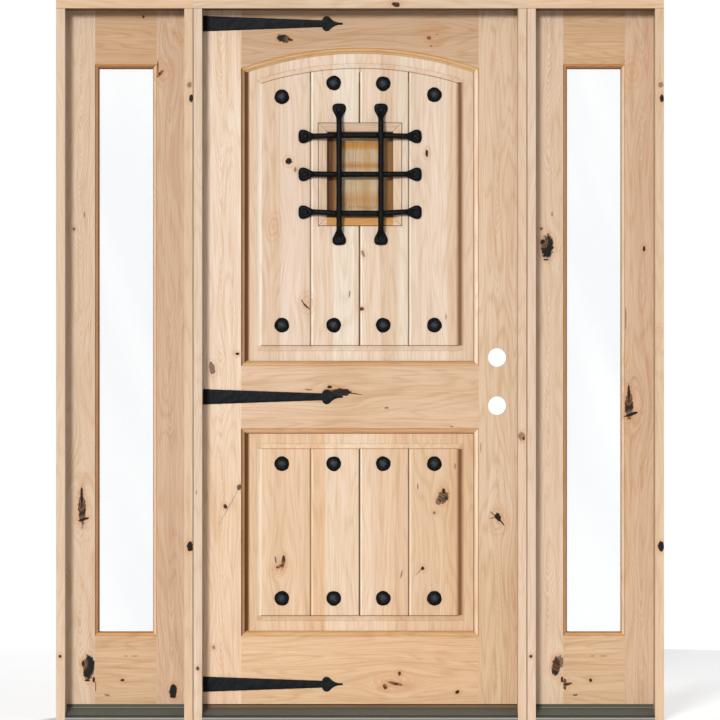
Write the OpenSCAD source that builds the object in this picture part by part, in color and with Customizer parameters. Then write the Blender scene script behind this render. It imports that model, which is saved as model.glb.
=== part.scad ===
// Arched-panel entry door in its frame, with a fixed glazed sidelite on each side.
// Millimetres. The outside faces -Y, the inside faces +Y, and Z = 0 is the foot of the jambs.
// The leaf hangs on the left seen from outside and swings inward.

/* [Door leaf] */
// Width of the leaf
door_w = 914.4; // [812:0.1:1200]
// Height of the leaf
door_h = 2006.6; // [1950:0.1:2440]
// Thickness of the leaf and of the sidelite sashes
door_t = 44.45; // [42:0.05:57]
// Width of the flat face of each leaf stile
stile_w = 114.3; // [105:0.1:140]
// Height of the flat face of the bottom rail
bottom_rail_h = 196.2; // [150:0.1:260]
// Height of the opening over the bottom rail
lower_open_h = 600; // [450:0.1:650]
// Height of the flat face of the lock rail
lock_rail_h = 180.5; // [150:0.1:220]
// Height of the top rail over the crown of the arch
crown_h = 111; // [95:0.1:150]
// Rise of the arch from its spring to its crown
arch_rise = 59; // [30:0.1:110]

/* [Moulded edges and panels] */
// Width of the moulded edge around each panel
stick_w = 15; // [13:0.1:20]
// Width of the groove that holds a panel
groove_w = 19.05; // [16:0.05:24]
// Depth of that groove
groove_d = 12.7; // [9:0.1:14]
// Thickness of the lip beside the groove
lip_t = 2; // [1.5:0.1:3]
// Thickness of a panel at its raised field
panel_t = 36.5; // [33:0.1:40]
// Distance from a flat face to the raised field
field_margin = 59; // [48:0.1:75]
// Width of the bevel around the field
bevel_w = 16; // [10:0.1:24]
// Gap left for a panel to swell in its groove
panel_play = 2; // [1:0.1:4]
// Width of a V groove between boards
vee_w = 6.5; // [4:0.1:9]
// Depth of a V groove
vee_d = 4; // [2:0.1:5]

/* [Frame] */
// Depth of the jambs from outside edge to inside edge
jamb_d = 116; // [100:0.1:170]
// Thickness of a jamb at its stop
jamb_t = 25.4; // [22:0.1:38]
// Depth of the rabbet that the leaf closes into
rabbet_d = 6.35; // [6:0.05:9]
// Gap beside and over the leaf
leaf_gap = 3.2; // [3:0.1:5]
// Gap under the leaf
sweep_gap = 3.2; // [3:0.1:8]
// Height of the door sill
sill_h = 38.1; // [32:0.1:60]
// Thickness of the closed weatherstrip
strip_t = 5; // [3:0.1:9]

/* [Sidelites] */
// Width of a sidelite sash
side_w = 355.6; // [290:0.1:460]
// Width of the flat face of a sash stile
side_stile_w = 88.9; // [70:0.1:110]
// Height of the flat face of the sash's top rail
side_top_h = 162.5; // [110:0.1:220]
// Height of the flat face of the sash's bottom rail
side_bottom_h = 197.3; // [140:0.1:260]
// Width of the moulded edge and of the bead around the glass
bead_w = 11; // [9:0.1:16]
// Thickness of one pane
pane_t = 4; // [3:0.1:6]
// Gap between the two panes
pane_gap = 10; // [8:0.1:12]

/* [Speakeasy] */
// Outer width of the mitred ring
ring_w = 243; // [230:0.1:262]
// Outer height of the mitred ring
ring_h = 299; // [270:0.1:320]
// Width of a ring member
ring_m = 27.5; // [24:0.1:34]
// Distance from the crown of the arch down to the ring's middle
ring_drop = 365; // [330:0.1:400]
// Width of a liner member
liner_m = 15.5; // [14:0.1:20]
// Clearance around the small door
small_gap = 1; // [0.8:0.1:1.5]

/* [Ironwork] */
// Radius of the grille bars
bar_r = 8.25; // [6:0.05:9]
// Distance from the middle to each upright bar
upright_x = 60.3; // [50:0.1:70]
// Distance from the middle bar to the other two crossbars
crossbar_z = 109.5; // [90:0.1:115]
// How far an upright reaches past the ring at each end
upright_over = 55; // [50:0.1:65]
// How far a crossbar reaches past the ring at each end
crossbar_over = 56.5; // [50:0.1:65]
// Radius of a bar's flared end
flare_r = 18.5; // [14:0.1:20]
// Radius of a round nail head
nail_r = 22.25; // [15:0.05:25]
// Length of a strap
strap_l = 404; // [340:0.1:405]
// Width of a strap at its butt
strap_w = 45; // [35:0.1:55]
// Thickness of a strap
strap_th = 3; // [2:0.1:4]

/* [Hinges and lock bores] */
// Height of a butt hinge
hinge_h = 101.6; // [88:0.1:115]
// Thickness of a hinge leaf
hinge_t = 3.1; // [2.5:0.1:3.5]
// Radius of a hinge pin
pin_r = 4; // [3:0.05:4.5]
// Radial running clearance of the pins
pin_play = 0.05; // [0.02:0.01:0.1]
// Radius of a cross bore for a lock
bore_r = 27; // [22:0.1:27]
// Distance from the leaf's edge to a bore's axis
backset = 60.3; // [60:0.1:70]
// Distance between the two cross bores
bore_pitch = 139.7; // [120:0.1:160]

/* [Hidden] */
$fn = 96;
front_y = -jamb_d / 2;
back_y = jamb_d / 2;
leaf_y = back_y - door_t;
leaf_mid = back_y - door_t / 2;
stop_y = leaf_y - strip_t;
back_t = jamb_t - rabbet_d;
half_door = door_w / 2;
half_in = half_door + leaf_gap;
half_unit = half_in + back_t;
side_unit = side_w + 2 * back_t;
leaf_z = sill_h + sweep_gap;
leaf_top = leaf_z + door_h;
head_z = leaf_top + leaf_gap;
top_z = head_z + back_t;

open_w = door_w - 2 * stile_w;
lower_z = leaf_z + bottom_rail_h;
lock_z = lower_z + lower_open_h;
upper_z = lock_z + lock_rail_h;
crown_z = leaf_top - crown_h;
arch_r = (pow(open_w / 2, 2) + pow(arch_rise, 2)) / (2 * arch_rise);
arch_z = crown_z - arch_r;
spring_z = crown_z - arch_rise;
groove_u = stick_w - groove_d;
field_w = open_w - 2 * field_margin;
board_w = field_w / 4;
panel_y = leaf_mid - panel_t / 2;
panel_back_y = leaf_mid + panel_t / 2;

glass_y = leaf_y + 12;
glass_t = 2 * pane_t + pane_gap;
side_x = half_unit + side_unit / 2;
side_open_w = side_w - 2 * side_stile_w;
side_open_z = leaf_z + side_bottom_h;
side_open_top = head_z - side_top_h;
side_open_h = side_open_top - side_open_z;

ring_z = crown_z - ring_drop;
ring_back_y = leaf_mid - 0.8;
small_x0 = -(ring_w / 2 - liner_m) + small_gap;
small_x1 = ring_w / 2 - liner_m - 2 * small_gap;
small_half_h = ring_h / 2 - liner_m - small_gap;
small_y = ring_back_y + 0.3;
small_barrel_r = 3.5;
small_pin_r = 1.75;
small_axis_x = -(ring_w / 2 - liner_m) + small_gap / 2;
small_axis_y = panel_back_y + small_barrel_r + 0.4;
small_hinge_h = 38;
small_hinge_z = small_half_h - 45;

nail_h = 11;
nail_drift = [-13, -5, -4, 2];
nail_drop = [141, 101, 103, 135];
nail_low_z = 118;
nail_lower = [109, 498];
crossbar_y = panel_y - 14;
upright_y = crossbar_y - 2 * bar_r + 2;
flare_h = 9;

strap_x = -half_door + 3.7;
strap_zs = [leaf_z + 57.4, leaf_z + 887.7, leaf_top - 41];
strap_screws_u = [24, 193, strap_l - 46];
neck_w = 19.5;

axis_x = -half_door - leaf_gap / 2;
axis_y = back_y + 7.5;
knuckle_r = 7;
hinge_leaf_w = 38;
hinge_zs = [leaf_z + 330, leaf_z + door_h / 2 + 50, leaf_top - 228.8];
screw_r = 2;
pilot_r = 2.1;
bore_zs = [upper_z - 45.3 - bore_pitch / 2, upper_z - 45.3 + bore_pitch / 2];
bore_x = half_door - backset;
strike_r = 12.7;
cut = 1;

wood = "#e3c29c";
side_wood = "#d6b184";
iron = "#1d1e20";
bronze = "#4a4238";
steel = "#9d968a";
foam = "#3b3733";

// ---- shared shapes ----

// A block between two opposite corners
module block(a, b) {
    translate(a) cube(b - a);
}

// A round bar or hole along Y, from depth y0 to y1
module bar_y(x, z, y0, y1, r) {
    translate([x, y0, z]) rotate([-90, 0, 0]) cylinder(h = y1 - y0, r = r);
}

// A round bar or hole along X, from x0 to x1
module bar_x(y, z, x0, x1, r) {
    translate([x0, y, z]) rotate([0, 90, 0]) cylinder(h = x1 - x0, r = r);
}

// A section drawn as (depth Y, height Z), run along X
module run_x(x0, x1) {
    translate([x0, 0, 0]) rotate([90, 0, 90]) linear_extrude(x1 - x0) children();
}

// A moulded edge: a lip, and a round arc that leaves level and falls by h over the width w
module ovolo_2d(w, h, lip) {
    r = (w * w + h * h) / (2 * h);
    intersection() {
        square([w, lip + h]);
        translate([0, lip + h - r]) circle(r);
    }
}

// Section of a leaf member: u runs toward the opening from the flat face's edge, v across the thickness
module leaf_edge_2d(back) {
    climb = (door_t - groove_w) / 2 - lip_t - 1.5;
    translate([-back, -door_t / 2]) square([back, door_t]);
    translate([0, -groove_w / 2]) square([groove_u, groove_w]);
    for (s = [0, 1])
        mirror([0, s]) translate([0, groove_w / 2]) ovolo_2d(stick_w, climb, lip_t);
}

// Section of a sash member: moulded outside, square rabbet for the glass inside
module sash_edge_2d(back) {
    translate([-back, 0]) square([back, door_t]);
    translate([0, glass_y - leaf_y]) mirror([0, 1]) ovolo_2d(bead_w, 8.5, lip_t);
}

// A four-sided frame of mitred members; the child is a member's section, (Y, height from the outer edge)
module mitred_frame(w, h, m) {
    for (side = [[0, w, h], [90, h, w], [180, w, h], [270, h, w]])
        rotate([0, side[0], 0]) translate([0, 0, -side[2] / 2]) intersection() {
            run_x(-side[1] / 2, side[1] / 2) children();
            translate([0, back_y + 20, 0]) rotate([90, 0, 0]) linear_extrude(jamb_d)
                polygon([[-side[1] / 2 + 0.05, 0], [side[1] / 2 - 0.05, 0],
                    [side[1] / 2 - m - 0.05, m], [-side[1] / 2 + m + 0.05, m]]);
        }
}

// ---- frame ----

// A rabbeted jamb whose outer face is at x = 0; the stop ends at the depth y
module jamb_leg(y) {
    block([0, front_y, 0], [jamb_t, y, head_z - rabbet_d]);
    block([0, y, 0], [back_t, back_y, head_z]);
}

// A rabbeted head over two legs
module jamb_head(w, y) {
    block([0, front_y, head_z - rabbet_d], [w, y, top_z]);
    block([0, y, head_z], [w, back_y, top_z]);
}

// Where the leaf screws sit, as distances from the hinge's middle and from the inside face
module at_leaf_screws() {
    for (z = hinge_zs, p = [[-38, 14], [-14, 28], [14, 28], [38, 14]])
        translate([0, back_y - p[1], z + p[0]]) children();
}

module head_jamb() {
    color(wood) translate([-half_unit, 0, 0]) jamb_head(2 * half_unit, stop_y);
}

module hinge_jamb() {
    color(wood) difference() {
        translate([-half_unit, 0, 0]) jamb_leg(stop_y);
        for (z = hinge_zs)
            block([-half_in - hinge_t, back_y - hinge_leaf_w, z - hinge_h / 2],
                [-half_in + cut, back_y + cut, z + hinge_h / 2]);
        at_leaf_screws() bar_x(0, 0, -half_in - 16, -half_in, pilot_r);
    }
}

module strike_jamb() {
    color(wood) difference() {
        mirror([1, 0, 0]) translate([-half_unit, 0, 0]) jamb_leg(stop_y);
        for (z = bore_zs) {
            block([half_in - cut, leaf_mid - 14, z - 35], [half_in + 2.4, leaf_mid + 14, z + 35]);
            bar_x(leaf_mid, z, half_in - cut, half_in + 15, strike_r);
        }
    }
}

// Keeps a sill clear of the two legs of its box
module between_legs(half, y) {
    difference() {
        children();
        for (s = [0, 1])
            mirror([s, 0, 0]) translate([-half, 0, 0]) jamb_leg(y);
    }
}

module sill_core() {
    color("#b89a72") between_legs(half_unit, stop_y) run_x(-half_in, half_in)
        polygon([[front_y + 2, 0], [front_y + 2, 7], [leaf_y, sill_h - 10], [back_y, sill_h - 10],
            [back_y, 0]]);
}

// A bent metal skin: nose, slope and level seat
module sill_deck() {
    color(bronze) between_legs(half_unit, stop_y) run_x(-half_in, half_in)
        polygon([[front_y, 0], [front_y, 9], [leaf_y, sill_h - 8], [back_y, sill_h - 8],
            [back_y, sill_h - 10], [leaf_y, sill_h - 10], [front_y + 2, 7], [front_y + 2, 0]]);
}

module sill_cap() {
    color("#6b5238") block([-half_in, leaf_y + 3, sill_h - 8], [half_in, back_y - 2, sill_h]);
}

module weatherstrip() {
    edge = half_unit - jamb_t + 0.4;
    color(foam) {
        for (s = [0, 1])
            mirror([s, 0, 0]) block([-half_in, stop_y, leaf_z], [-edge, leaf_y - 0.3, head_z - rabbet_d]);
        block([-half_in, stop_y, head_z - rabbet_d + 0.4], [half_in, leaf_y - 0.3, head_z]);
    }
}

// Height of the lower end of knuckle k, counted from the hinge's middle
function knuckle_z(k) = -hinge_h / 2 + k * hinge_h / 5;

// One butt hinge leaf at z; own lists its knuckles, other lists those of its mate, hole is its bore
module hinge_leaf(z, own, other, hole) {
    translate([axis_x, axis_y, z]) difference() {
        union() {
            block([leaf_gap / 2, back_y - hinge_leaf_w - axis_y, -hinge_h / 2],
                [leaf_gap / 2 + hinge_t, 0, hinge_h / 2]);
            for (k = own)
                translate([0, 0, knuckle_z(k) + 0.15]) cylinder(h = hinge_h / 5 - 0.3, r = knuckle_r);
        }
        for (k = other)
            translate([0, 0, knuckle_z(k) - 0.15]) cylinder(h = hinge_h / 5 + 0.3, r = knuckle_r + 0.4);
        translate([0, 0, -hinge_h]) cylinder(h = 2 * hinge_h, r = hole);
    }
}

// Countersunk holes for the leaf screws, opening toward +X from the leaf's outer face at x
module leaf_screw_holes(x) {
    at_leaf_screws() {
        bar_x(0, 0, x - hinge_t - cut, x + cut, screw_r + 0.3);
        translate([x - 2.2, 0, 0]) rotate([0, 90, 0]) cylinder(h = 2.3, r1 = screw_r + 0.3, r2 = 4.7);
    }
}

// Countersunk screws with their heads flush at x, pointing to -X
module leaf_screws(x, length) {
    at_leaf_screws() {
        bar_x(0, 0, x - length, x - 2.2, screw_r);
        translate([x - 2.2, 0, 0]) rotate([0, 90, 0]) cylinder(h = 2.2, r1 = screw_r, r2 = 4.5);
    }
}

module frame_hinge_leaves() {
    color(steel) difference() {
        for (z = hinge_zs)
            translate([2 * axis_x, 0, 0]) mirror([1, 0, 0]) hinge_leaf(z, [0, 2, 4], [1, 3], pin_r);
        leaf_screw_holes(-half_in);
    }
}

module hinge_pins() {
    color(steel) for (z = hinge_zs)
        translate([axis_x, axis_y, z]) {
            translate([0, 0, -hinge_h / 2]) cylinder(h = hinge_h, r = pin_r);
            translate([0, 0, hinge_h / 2 - 0.15]) cylinder(h = 3.5, r = 6);
        }
}

module frame_screws() {
    color(steel) leaf_screws(-half_in, 15);
}

// ---- sidelites ----

// Places a left-hand sidelite piece, or its mirror image on the right
module on_side(right) {
    mirror([right, 0, 0]) translate([-side_x, 0, 0]) children();
}

module side_head() {
    translate([-side_unit / 2, 0, 0]) jamb_head(side_unit, leaf_y);
}

module side_outer_jamb() {
    translate([-side_unit / 2, 0, 0]) jamb_leg(leaf_y);
}

module side_mull_jamb() {
    mirror([1, 0, 0]) side_outer_jamb();
}

module side_sill() {
    between_legs(side_unit / 2, leaf_y) run_x(-side_w / 2, side_w / 2)
        polygon([[front_y, 0], [front_y, 9], [leaf_y, sill_h - 8], [leaf_y, leaf_z],
            [back_y, leaf_z], [back_y, 0]]);
}

// Both sash stiles run the full height, with some to spare where one only cuts
module sash_stile(spare = 0) {
    translate([-side_w / 2 + side_stile_w, leaf_y, leaf_z - spare])
        linear_extrude(head_z - leaf_z + 2 * spare) sash_edge_2d(side_stile_w);
}

// A sash rail, coped over the stiles; up is 1 for the bottom rail and -1 for the top rail
module sash_rail(z, up, height) {
    difference() {
        translate([0, leaf_y, z]) rotate([0, -90 * up, 0])
            linear_extrude(side_open_w, center = true) sash_edge_2d(height);
        for (s = [0, 1])
            mirror([s, 0, 0]) sash_stile(5);
    }
}

module glass_pair() {
    for (y = [glass_y, glass_y + pane_t + pane_gap])
        block([-side_open_w / 2 + 1, y, side_open_z + 1],
            [side_open_w / 2 - 1, y + pane_t, side_open_top - 1]);
}

module glass_spacer() {
    y = glass_y + pane_t;
    difference() {
        block([-side_open_w / 2 + 2, y, side_open_z + 2],
            [side_open_w / 2 - 2, y + pane_gap, side_open_top - 2]);
        block([-side_open_w / 2 + 9, y - cut, side_open_z + 9],
            [side_open_w / 2 - 9, y + pane_gap + cut, side_open_top - 9]);
    }
}

module glazing_beads() {
    y = glass_y + glass_t;
    translate([0, 0, (side_open_z + side_open_top) / 2]) mitred_frame(side_open_w, side_open_h, bead_w)
        polygon([[y, 0], [back_y, 0], [back_y, 3], [y + 4, bead_w], [y, bead_w]]);
}

// ---- leaf ----

// A stile's full section, with some length to spare at both ends where it only cuts
module stile_form(spare = 0) {
    translate([-half_door + stile_w, leaf_mid, leaf_z - spare])
        linear_extrude(door_h + 2 * spare) leaf_edge_2d(stile_w + spare);
}

// Leaves room for both stiles, so that a rail's ends are coped over their moulded edges
module between_stiles() {
    difference() {
        children();
        for (s = [0, 1])
            mirror([s, 0, 0]) stile_form(5);
    }
}

// A straight moulded rail edge at height z; up is 1 or -1
module rail_edge(z, up, back) {
    translate([0, leaf_mid, z]) rotate([0, -90 * up, 0])
        linear_extrude(open_w, center = true) leaf_edge_2d(back);
}

dowel_zs = [leaf_z + 50, leaf_z + 145, lock_z + 40, lock_z + 140, spring_z + 45, leaf_top - 48];

module dowel_set(r) {
    for (s = [-1, 1], z = dowel_zs)
        bar_x(leaf_mid, z, s * (open_w / 2 - 13) - 37, s * (open_w / 2 - 13) + 37, r);
}

// Where the strap screws sit on the outside face
module at_strap_screws() {
    for (z = strap_zs, u = strap_screws_u)
        translate([strap_x + u, leaf_y, z]) children();
}

// Holes that the leaf's wooden pieces share
module leaf_holes() {
    dowel_set(6.4);
    at_strap_screws() bar_y(0, 0, -cut, 20, pilot_r);
}

module hinge_stile() {
    color(wood) difference() {
        stile_form();
        leaf_holes();
        for (z = hinge_zs)
            block([-half_door - cut, back_y - hinge_leaf_w, z - hinge_h / 2],
                [-half_door + hinge_t, back_y + cut, z + hinge_h / 2]);
        at_leaf_screws() bar_x(0, 0, -half_door, -half_door + 27, pilot_r);
    }
}

// Cross bores for the latch and the deadbolt, each met by an edge bore behind a shallow mortise
module latch_stile() {
    color(wood) difference() {
        mirror([1, 0, 0]) stile_form();
        leaf_holes();
        for (z = bore_zs) {
            bar_y(bore_x, z, leaf_y - cut, back_y + cut, bore_r);
            bar_x(leaf_mid, z, bore_x, half_door + cut, strike_r);
            block([half_door - 2.4, leaf_mid - 12.7, z - 28.6], [half_door + cut, leaf_mid + 12.7, z + 28.6]);
        }
    }
}

// The moulded edge is swept around the middle of the arch
module top_rail() {
    reach = norm([open_w / 2, leaf_top - arch_z]) - arch_r + 5;
    color(wood) difference() {
        between_stiles() intersection() {
            translate([0, leaf_mid, arch_z]) rotate([90, 0, 0]) rotate_extrude($fn = 256)
                translate([arch_r, 0]) mirror([1, 0]) leaf_edge_2d(reach);
            block([-open_w / 2, leaf_y, spring_z - 60], [open_w / 2, back_y, leaf_top]);
        }
        leaf_holes();
    }
}

module lock_rail() {
    color(wood) difference() {
        between_stiles() {
            rail_edge(upper_z, 1, lock_rail_h / 2);
            rail_edge(lock_z, -1, lock_rail_h / 2);
        }
        leaf_holes();
    }
}

module bottom_rail() {
    color(wood) difference() {
        between_stiles() rail_edge(lower_z, 1, bottom_rail_h);
        leaf_holes();
    }
}

// Section of a raised panel from lo to hi, at full thickness between lo + margin and hi - margin
module raised_2d(lo, hi, margin) {
    r = groove_w / 2;
    p = panel_t / 2;
    polygon([[lo, -r], [lo + margin - bevel_w, -r], [lo + margin, -p], [hi - margin, -p],
        [hi - margin + bevel_w, -r], [hi, -r], [hi, r], [hi - margin + bevel_w, r],
        [hi - margin, p], [lo + margin, p], [lo + margin - bevel_w, r], [lo, r]]);
}

// Upright V grooves on both faces, at the edges between the boards
module vee_grooves(z0, z1) {
    for (x = [-board_w, 0, board_w], s = [0, 1])
        translate([x, leaf_mid, z0]) mirror([0, s, 0]) linear_extrude(z1 - z0)
            polygon([[-vee_w / 2, -panel_t / 2 - cut], [-vee_w / 2, -panel_t / 2], [0, vee_d - panel_t / 2],
                [vee_w / 2, -panel_t / 2], [vee_w / 2, -panel_t / 2 - cut]]);
}

panel_in = groove_u + panel_play;
panel_margin = field_margin - panel_in;

// A square panel between two heights
module panel_form(z0, z1) {
    intersection() {
        translate([0, leaf_mid, z0]) linear_extrude(z1 - z0)
            raised_2d(-open_w / 2 + panel_in, open_w / 2 - panel_in, panel_margin);
        translate([0, leaf_mid, 0]) rotate([0, -90, 0]) linear_extrude(open_w, center = true)
            raised_2d(z0 + panel_in, z1 - panel_in, panel_margin);
    }
}

// Where the nails go: each column drifts a little from the middle of its board
function nail_x(i) = (i - 1.5) * board_w + nail_drift[i];
upper_nails = [for (i = [0:3]) each [[nail_x(i), crown_z - nail_drop[i]], [nail_x(i), upper_z + nail_low_z]]];
lower_nails = [for (i = [0:3], h = nail_lower) [nail_x(i), lower_z + h]];

module nail_holes(places) {
    for (p = places)
        bar_y(p[0], p[1], panel_y - cut, panel_y + 24, 2.6);
}

upright_l = ring_h + 2 * upright_over;
crossbar_l = ring_w + 2 * crossbar_over;

// Where the grille's end screws go
grille_ends = concat(
    [for (s = [-1, 1], e = [-1, 1]) [s * upright_x, ring_z + e * (upright_l / 2 - flare_r)]],
    [for (k = [-1, 0, 1], e = [-1, 1]) [e * (crossbar_l / 2 - flare_r), ring_z + k * crossbar_z]]);

// The arch-topped panel, with the speakeasy's opening cut through its middle boards
module upper_panel() {
    r1 = arch_r - panel_in;
    r0 = arch_r - field_margin;
    color(wood) difference() {
        intersection() {
            panel_form(upper_z, crown_z + 100);
            translate([0, leaf_mid, arch_z]) rotate([90, 0, 0]) rotate_extrude($fn = 256)
                polygon([[0, -panel_t / 2], [r0, -panel_t / 2], [r0 + bevel_w, -groove_w / 2],
                    [r1, -groove_w / 2],
                    [r1, groove_w / 2], [r0 + bevel_w, groove_w / 2], [r0, panel_t / 2], [0, panel_t / 2]]);
        }
        vee_grooves(upper_z, crown_z);
        block([-ring_w / 2, leaf_y, ring_z - ring_h / 2], [ring_w / 2, back_y, ring_z + ring_h / 2]);
        nail_holes(upper_nails);
        for (p = grille_ends)
            bar_y(p[0], p[1], panel_y - cut, panel_y + 20, pilot_r);
    }
}

module lower_panel() {
    color(wood) difference() {
        panel_form(lower_z, lock_z);
        vee_grooves(lower_z, lock_z);
        nail_holes(lower_nails);
    }
}

module rail_dowels() {
    color("#c9a678") dowel_set(6.35);
}

module speakeasy_ring() {
    color(wood) translate([0, 0, ring_z]) mitred_frame(ring_w, ring_h, ring_m)
        polygon([[panel_y - 1.5, 0], [ring_back_y, 0], [ring_back_y, ring_m], [panel_y + 6, ring_m]]);
}

module speakeasy_liner() {
    color(wood) translate([0, 0, ring_z]) mitred_frame(ring_w, ring_h, liner_m)
        polygon([[ring_back_y, 0], [panel_back_y, 0], [panel_back_y, liner_m], [ring_back_y, liner_m]]);
}

// A bar along X, its ends bent back to flared pads that lie on the panel
module grille_bar(length, y) {
    pad_x = length / 2 - flare_r;
    reach = pad_x - flare_r - 8;
    difference() {
        union() {
            bar_x(y, 0, -reach, reach, bar_r);
            for (s = [-1, 1])
                hull() {
                    bar_x(y, 0, s * reach - 0.5, s * reach + 0.5, bar_r, $fn = 32);
                    bar_y(s * pad_x, 0, panel_y - flare_h, panel_y, flare_r, $fn = 32);
                }
        }
        for (s = [-1, 1]) {
            bar_y(s * pad_x, 0, panel_y - 40, panel_y + cut, screw_r + 0.3);
            bar_y(s * pad_x, 0, panel_y - 40, panel_y - flare_h + 3, 5.6);
        }
    }
}

module grille_uprights() {
    color(iron) for (s = [-1, 1])
        translate([s * upright_x, 0, ring_z]) rotate([0, 90, 0]) grille_bar(upright_l, upright_y);
}

// The crossbars are saddled where the uprights cross them
module grille_crossbars() {
    color(iron) difference() {
        for (k = [-1, 0, 1])
            translate([0, 0, ring_z + k * crossbar_z]) grille_bar(crossbar_l, crossbar_y);
        for (s = [-1, 1])
            translate([s * upright_x, upright_y, ring_z])
                cylinder(h = 2 * crossbar_z + 40, r = bar_r, center = true);
    }
}

module grille_screws() {
    color(iron) for (p = grille_ends) {
        bar_y(p[0], p[1], panel_y - flare_h + 3, panel_y + 19, screw_r);
        bar_y(p[0], p[1], panel_y - flare_h - 0.5, panel_y - flare_h + 3, 5.2);
    }
}

// A tapered strap that ends in a spade: round shoulders, hollow flanks and a small round point
module strap_2d() {
    shoulder_r = 13;
    shoulder_x = strap_l - 47;
    shoulder_y = 8.6;
    tip_r = 3;
    flank_r = 40;
    run = sqrt(pow(shoulder_r + flank_r, 2) - pow(tip_r + flank_r - shoulder_y, 2));
    flank_x = shoulder_x + run;
    half = shoulder_y + shoulder_r * (tip_r + flank_r - shoulder_y) / (shoulder_r + flank_r);
    polygon([[0, -strap_w / 2], [shoulder_x, -neck_w / 2], [shoulder_x, neck_w / 2], [0, strap_w / 2]]);
    for (s = [-1, 1])
        translate([shoulder_x, s * shoulder_y]) circle(shoulder_r);
    difference() {
        translate([shoulder_x, -half]) square([run, 2 * half]);
        for (s = [-1, 1])
            translate([flank_x, s * (tip_r + flank_r)]) circle(flank_r);
    }
    translate([flank_x - cut, -tip_r]) square([strap_l - tip_r - flank_x + cut, 2 * tip_r]);
    translate([strap_l - tip_r, 0]) circle(tip_r);
}

module strap(i) {
    color(iron) difference() {
        translate([strap_x, leaf_y, strap_zs[i]]) rotate([90, 0, 0]) linear_extrude(strap_th) strap_2d();
        at_strap_screws() bar_y(0, 0, -strap_th - cut, cut, screw_r + 0.3);
    }
}

module strap_screws() {
    color(iron) at_strap_screws() {
        bar_y(0, 0, -strap_th, 19, screw_r);
        bar_y(0, 0, -strap_th - 1.8, -strap_th, 4.6);
    }
}

// Each nail has a shallow domed head on a driven shank
module round_nails() {
    dome_r = (nail_r * nail_r + nail_h * nail_h) / (2 * nail_h);
    color(iron) for (p = concat(upper_nails, lower_nails)) {
        intersection() {
            translate([p[0], panel_y + dome_r - nail_h, p[1]]) sphere(dome_r);
            bar_y(p[0], p[1], panel_y - nail_h - cut, panel_y, nail_r + cut);
        }
        bar_y(p[0], p[1], panel_y - cut, panel_y + 23, 2.5);
    }
}

module door_hinge_leaves() {
    color(steel) difference() {
        for (z = hinge_zs)
            hinge_leaf(z, [1, 3], [0, 2, 4], pin_r + pin_play);
        mirror([1, 0, 0]) leaf_screw_holes(half_door);
    }
}

module door_screws() {
    color(steel) mirror([1, 0, 0]) leaf_screws(half_door, 25);
}

// A flat base with three fins that brush the cap
module sweep() {
    color(foam) run_x(-half_door + 4, half_door - 4) {
        translate([leaf_y + 6, leaf_z - 1.2]) square([door_t - 12, 1.2]);
        for (y = [leaf_y + 8, leaf_mid - 1, back_y - 10])
            translate([y, sill_h + 0.3]) square([2, sweep_gap - 0.3]);
    }
}

// ---- speakeasy door ----

// Two small surface hinges; dir is 1 for the moving leaf and -1 for the fixed one
module small_leaf(dir, own, other) {
    k = small_hinge_h / 3;
    for (z = [-small_hinge_z, small_hinge_z])
        translate([small_axis_x, small_axis_y, ring_z + z - small_hinge_h / 2]) difference() {
            union() {
                translate([dir > 0 ? 0 : -12, panel_back_y - small_axis_y, 0]) cube([12, 1.5, small_hinge_h]);
                for (i = own)
                    translate([0, 0, i * k + 0.15]) cylinder(h = k - 0.3, r = small_barrel_r);
            }
            for (i = other)
                translate([0, 0, i * k - 0.15]) cylinder(h = k + 0.3, r = small_barrel_r + 0.4);
            if (dir > 0)
                translate([0, 0, -cut]) cylinder(h = small_hinge_h + 2, r = small_pin_r + pin_play);
        }
}

// The fixed leaves carry their riveted pins
module speakeasy_fixed_leaves() {
    color(iron) {
        small_leaf(-1, [0, 2], [1]);
        for (z = [-small_hinge_z, small_hinge_z])
            translate([small_axis_x, small_axis_y, ring_z + z - small_hinge_h / 2])
                cylinder(h = small_hinge_h, r = small_pin_r);
    }
}

module speakeasy_leaves() {
    color(iron) small_leaf(1, [1], [0, 2]);
}

// A solid panel whose raised field faces the outside
module speakeasy_door() {
    margin = 42;
    color("#c39a5b") translate([0, 0, ring_z]) {
        block([small_x0, small_y, -small_half_h], [small_x1, panel_back_y, small_half_h]);
        intersection() {
            linear_extrude(2 * small_half_h, center = true)
                polygon([[small_x0 + margin - 20, small_y], [small_x0 + margin, small_y - 7],
                    [small_x1 - margin, small_y - 7], [small_x1 - margin + 20, small_y],
                    [small_x1 - margin + 20, small_y + cut], [small_x0 + margin - 20, small_y + cut]]);
            run_x(small_x0, small_x1)
                polygon([[small_y + cut, -small_half_h + margin - 20], [small_y, -small_half_h + margin - 20],
                    [small_y - 7, -small_half_h + margin], [small_y - 7, small_half_h - margin],
                    [small_y, small_half_h - margin + 20], [small_y + cut, small_half_h - margin + 20]]);
        }
    }
}

bolt_r = 3.2;
bolt_y = panel_back_y + 1.5 + 0.3 + bolt_r;
bolt_travel = 13;
bolt_tip_x = ring_w / 2 - liner_m - 2.5;

// A backing plate with two loops that the bolt slides in
module bolt_guides() {
    color(iron) translate([0, 0, ring_z]) difference() {
        union() {
            block([bolt_tip_x - 48, panel_back_y, -9], [bolt_tip_x - 3, panel_back_y + 1.5, 9]);
            for (x = [bolt_tip_x - 44, bolt_tip_x - 12])
                block([x, panel_back_y, -5.5], [x + 6, bolt_y + 5, 5.5]);
        }
        bar_x(bolt_y, 0, bolt_tip_x - 60, bolt_tip_x + 10, bolt_r + 0.2);
    }
}

module bolt() {
    color(iron) translate([0, 0, ring_z]) {
        bar_x(bolt_y, 0, bolt_tip_x - 54, bolt_tip_x, bolt_r);
        bar_y(bolt_tip_x - 32, 0, bolt_y, bolt_y + 12, 3);
        translate([bolt_tip_x - 32, bolt_y + 14, 0]) sphere(5);
    }
}

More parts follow.
